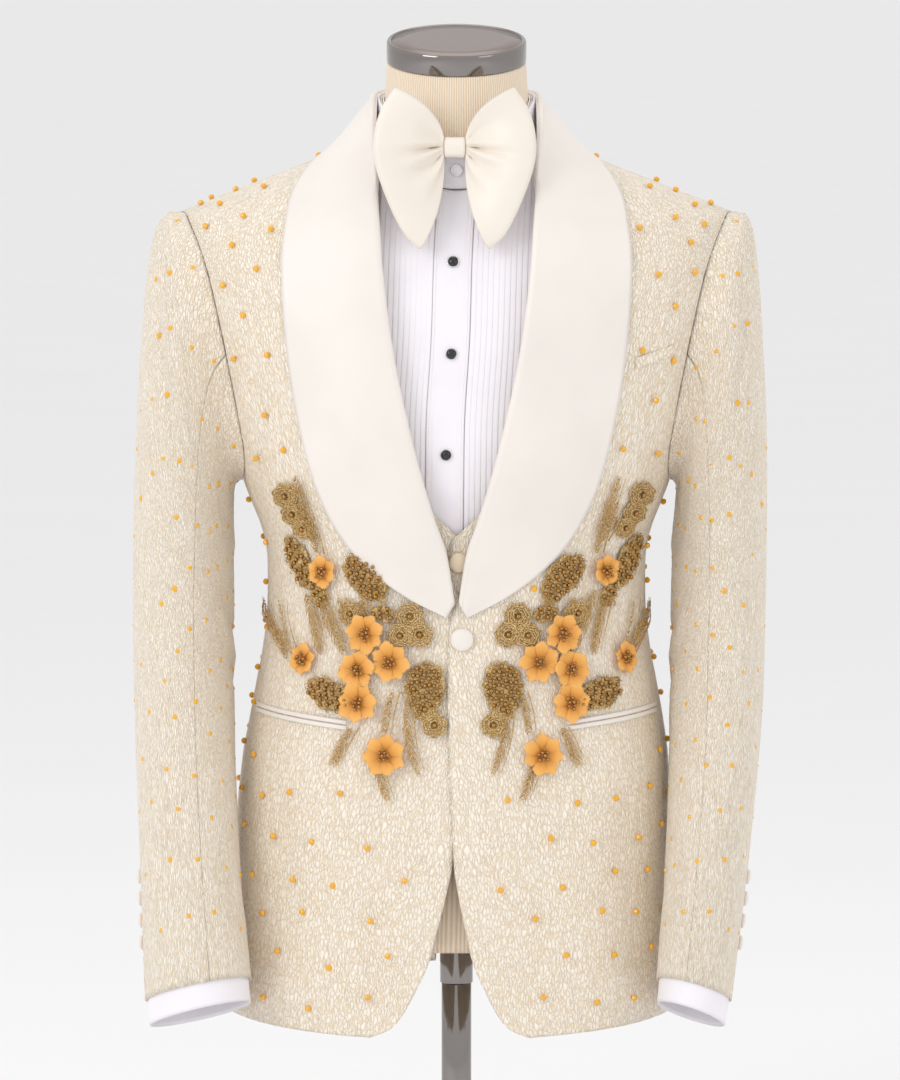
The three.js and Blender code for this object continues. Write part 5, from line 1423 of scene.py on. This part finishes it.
def add_frond(parts, side, row, rng):
    x, z, heading, long, wide, bend = row
    s = np.linspace(0, 1, 14)
    turn = np.radians(heading + bend * s)
    px = x + np.concatenate([[0], np.cumsum(np.cos(turn[1:]) * long / 13)])
    pz = z + np.concatenate([[0], np.cumsum(np.sin(turn[1:]) * long / 13)])
    out = SPRAY_OUT + 0.6 + 1.2 * np.sin(math.pi * s)
    strand(parts, on_spray(side, px, pz, out), 0.7)
    count = int(long / 2.0)
    for k in range(count):
        at = (k + rng.uniform(0, 0.5)) / count
        cx, cz, angle = np.interp(at, s, px), np.interp(at, s, pz), np.radians(heading + bend * at)
        size = wide * (0.25 + 0.75 * math.sin(math.pi * min(1, 0.12 + at * 0.86)) ** 0.8)
        for way in (-1, 1):
            lean = angle + way * rng.uniform(0.6, 0.85)
            r = np.linspace(0, 1, 4) * size * rng.uniform(0.75, 1.1)
            curl = lean - way * 0.25 * np.linspace(0, 1, 4)
            out = SPRAY_OUT + 0.4 + rng.uniform(0.2, 1.6) + 0 * r
            strand(parts, on_front(side, cx + r * np.cos(curl), cz + r * np.sin(curl), out), 0.55, 4, 0.35)


def add_lace(parts, beads, side, row, rng, seed):
    x, z, long, wide, lean = row
    c, s = math.cos(math.radians(lean)), math.sin(math.radians(lean))
    around = np.linspace(0, 2 * math.pi, 72, endpoint=False)
    turn, share = np.meshgrid(around, np.linspace(0, 1, 11), indexing="xy")
    lobes = round((long + wide) / 9)
    scallop = 0.88 + 0.17 * np.abs(np.sin(turn * lobes / 2 + seed)) + 0.06 * np.sin(turn * 3 + seed)
    a, b = long / 2 * share * scallop * np.cos(turn), wide / 2 * share * scallop * np.sin(turn)
    px, pz = x + a * c - b * s, z + a * s + b * c
    mesh_relief = 0.9 * noise(px / 2.2, pz / 2.2, seed) + 0.5 * noise(px / 0.9, pz / 0.9, seed + 1)
    out = SPRAY_OUT - 0.4 + (0.5 + mesh_relief) * ease((1.02 - share) / 0.12)
    faces = quads(11, 72, round_columns=True)
    parts.add(on_spray(side, px, pz, out), faces if side > 0 else faces[:, ::-1])
    for k in range(int(long * wide / 8)):
        turn_k, reach = rng.uniform(0, 2 * math.pi), math.sqrt(rng.uniform(0.05, 1))
        a0, b0 = long / 2 * reach * math.cos(turn_k), wide / 2 * reach * math.sin(turn_k)
        loop = np.linspace(0, 2.0 * math.pi * 0.8, 7)
        size = rng.uniform(1.2, 2.6)
        la, lb = a0 + size * np.cos(loop + turn_k), b0 + size * np.sin(loop + turn_k)
        out = SPRAY_OUT + rng.uniform(0.5, 1.2) + 0 * loop
        strand(parts, on_spray(side, x + la * c - lb * s, z + la * s + lb * c, out), 0.42, 3, 0.8)
    count = int(long * wide / 34)
    for k in range(count):
        spin, reach = k * 2.399963, math.sqrt((k + 0.5) / count) * 0.9
        a0, b0 = long / 2 * reach * math.cos(spin), wide / 2 * reach * math.sin(spin)
        here, normal, _, _ = spray_frame(side, x + a0 * c - b0 * s, z + a0 * s + b0 * c, SPRAY_OUT + 2.1)
        beads.add(*ball(here, rng.uniform(1.6, 2.0), 7, 10))


def add_rosette(parts, beads, side, row, rng):
    x, z, across = row
    for k, share in enumerate((1.0, 0.8, 0.6, 0.4)):
        turn = np.linspace(0, 2 * math.pi, 43)
        radius = across / 2 * share * (1 + 0.07 * np.sin(turn * 7 + k))
        out = SPRAY_OUT + 0.4 + 0.5 * (k % 2) + 0.3 * np.sin(turn * 9)
        strand(parts, on_spray(side, x + radius * np.cos(turn), z + radius * np.sin(turn), out), 0.8, 5, 1.0)
    for k in range(26):
        turn = k * 2 * math.pi / 26 + rng.uniform(-0.05, 0.05)
        r = across / 2 * np.linspace(0.2, 1.04, 4)
        curl = turn + 0.25 * np.linspace(0, 1, 4)
        path = on_spray(side, x + r * np.cos(curl), z + r * np.sin(curl), SPRAY_OUT + 0.7 + 0 * r)
        strand(parts, path, 0.55, 3, 0.7)
    here, normal, _, _ = spray_frame(side, x, z, SPRAY_OUT + 1.8)
    beads.add(*ball(here, 2.1, 7, 11))


def rows_of(columns):
    return list(zip(*columns.values()))


for name, side in SIDES:
    rng = np.random.default_rng(40 + side)
    petals, hearts, lace, fronds = Parts(), Parts(), Parts(), Parts()
    for row in rows_of(FLOWERS):
        add_petals(petals, hearts, side, row, rng)
    for k, row in enumerate(rows_of(LACE_PATCHES)):
        add_lace(lace, hearts, side, row, rng, 60 + k)
    for row in rows_of(ROSETTES):
        add_rosette(lace, hearts, side, row, rng)
    for row in rows_of(FRONDS):
        add_frond(fronds, side, row, rng)
    cover(lace.make(f"lace_{name}", LACE), f"flower_spray_{name}", slot="gold")
    cover(fronds.make(f"fronds_{name}", FROND), slot="gold")
    cover(petals.make(f"petals_{name}", PETAL), slot="gold")
    cover(hearts.make(f"seed_beads_{name}", ANTIQUE), slot="gold")

# Amber beads sewn over the whole jacket, in loose diagonal rows.
BEAD_ACROSS, BEAD_UP, BEAD, BEAD_DRIFT = 46, 34, 2.75, 7


def bead_at(parts, here, normal):
    parts.add(*ball(here + normal * BEAD * 0.62, BEAD, 5, 8, 0.85, normal))


def clear_of_trim(x, z):
    """Whether a bead may sit at x, z of the front: off the lapel, the spray, the jets and the edges."""
    on_lapel = z > 545 and x < along(LAPEL, "edgeZ", "edgeX", z) + 6 if z < 884 else x < 150
    in_spray = (8 < x < 165 and 400 < z < 556) or (70 < x < 165 and 400 < z < 668)
    on_jet = abs(z - 459) < 9 and 85 < x < 170
    low_edge = x < 16 + max(0, (330 - z) / 2.2)
    return not (on_lapel or in_spray or on_jet or low_edge)


for name, side in SIDES:
    rng = np.random.default_rng(80 + side)
    parts = Parts()
    for i in range(24):
        for j in range(13):
            level = 226 + i * BEAD_UP + rng.uniform(-BEAD_DRIFT, BEAD_DRIFT)
            angle = (8 + (j + 0.5 * (i % 2)) * BEAD_ACROSS + rng.uniform(-BEAD_DRIFT, BEAD_DRIFT)) / ACROSS
            if angle > 174 or level > 946:
                continue
            hole_front = level > 655 and abs(angle - 91) < 27
            x, _, z = np.abs(body(1, angle, level))
            under_collar = angle >= 104 and z > 905 and x < 100
            if hole_front or under_collar or (angle < 76 and not clear_of_trim(x, z)):
                continue
            here = body(side, angle, level)
            bead_at(parts, here, lifted(side, angle, level, 1.0) - here)
    for i in range(19):
        for j in range(10):
            t = 0.03 + i * BEAD_UP / SLEEVE_LENGTH + rng.uniform(-0.01, 0.01)
            turn = -42 + (j + 0.5 * (i % 2)) * BEAD_ACROSS / ROUND_ARM + rng.uniform(-5, 5)
            if t > 0.97 or turn > 315 or (t > 0.86 and abs(turn + 14) < 16):
                continue
            here = sleeve_points(side, t, turn)
            around = sleeve_points(side, t, turn + 2) - sleeve_points(side, t, turn - 2)
            down = sleeve_points(side, t + 0.01, turn) - sleeve_points(side, t - 0.01, turn)
            normal = np.cross(down, around) * side
            bead_at(parts, here, normal / np.linalg.norm(normal))
    cover(parts.make(f"amber_beads_{name}", AMBER, False), slot="gold")

# The buttonhole worked in thread, and the stitching of the placket.
stitches = Parts()
hole = ((15.5, 529), (22, 531.5))
for k in range(22):
    t = k / 21
    x, z = mix(hole[0][0], hole[1][0], t), mix(hole[0][1], hole[1][1], t)
    across, up = np.array([x - 0.5, x, x + 0.5]), np.array([z - 1.4, z, z + 1.4])
    path = on_front(1, across, up, np.array([0.1, 0.6, 0.1]))
    stitches.add(*turned([(0.1, 0), (0.34, 0.4), (0.34, 2.4), (0.1, 2.8)], path[0], path[2] - path[0], 6))
cover(stitches.make("buttonhole", STITCH), slot="satin")
stitches = Parts()
for side_x in (-1, 1):
    for share in np.linspace(0.24, 0.985, 150):
        angle, level = shirt_front(side_x * 13.2, np.array([share, share + 0.0032]))
        low, high = body(1, angle, level, PLACKET_INSET - 0.1)
        stitches.add(*turned([(0.08, 0), (0.2, 0.25), (0.2, 1.25), (0.08, 1.5)], low, high - low, 5))
cover(stitches.make("placket_stitches", STITCH), slot="cotton")

# The studio: a wide pale floor, soft lights and the camera of the photograph.
FLOOR_REACH, FLOOR_Z = 90.0, -0.0006
paper = Nodes("paper")
grain = paper.noise(paper.place((1, 1, 1), "Object"), 3.0)
paper.finish(paper.ramp(grain, (0.3, colour("f6f6f7")), (0.7, colour("f7f7f8"))), Roughness=0.95)
corners = [(x * FLOOR_REACH, y * FLOOR_REACH, FLOOR_Z) for x, y in ((-1, -1), (1, -1), (1, 1), (-1, 1))]
mesh_of("floor", np.array(corners) / MM, [(0, 1, 2, 3)], paper.material)


def area_light(name, place, target, size, power):
    lamp = bpy.data.lights.new(name, "AREA")
    lamp.shape, lamp.size, lamp.size_y = "RECTANGLE", *size
    lamp.energy = power
    thing = bpy.data.objects.new(name, lamp)
    bpy.context.scene.collection.objects.link(thing)
    thing.location = place
    aim(thing, target)


def aim(thing, target):
    heading = Vector(target) - Vector(thing.location)
    thing.rotation_euler = heading.to_track_quat("-Z", "Y").to_euler()


MIDDLE = (0, 0, 0.62)
area_light("key", (-2.3, -2.4, 2.2), MIDDLE, (1.4, 1.8), 27)
area_light("fill", (2.6, -2.4, 1.5), MIDDLE, (1.4, 1.8), 8)
area_light("top", (0, 0.5, 3.2), MIDDLE, (2.0, 1.6), 9)
world = bpy.data.worlds.new("studio")
bpy.context.scene.world = world
world.use_nodes = True
world.node_tree.nodes["Background"].inputs[0].default_value = (1.0, 0.995, 0.99, 1)
world.node_tree.nodes["Background"].inputs[1].default_value = 0.88

CAMERA_FAR, CAMERA_X, CAMERA_Z, PITCH_DOWN = 6.0, -0.0054, 1.204, 5.778
PHOTO_FOCAL, PHOTO_HIGH, SENSOR = 7228.92, 1080, 36
lens = bpy.data.cameras.new("camera")
lens.sensor_fit, lens.sensor_height, lens.sensor_width = "VERTICAL", SENSOR, SENSOR
lens.lens = PHOTO_FOCAL / PHOTO_HIGH * SENSOR
lens.clip_end = 60
camera = bpy.data.objects.new("camera", lens)
bpy.context.scene.collection.objects.link(camera)
camera.location = (CAMERA_X, -CAMERA_FAR, CAMERA_Z)
camera.rotation_euler = (math.radians(90 - PITCH_DOWN), 0, 0)
bpy.context.scene.camera = camera
bpy.context.scene.view_settings.view_transform = "Standard"

bpy.context.view_layer.update()
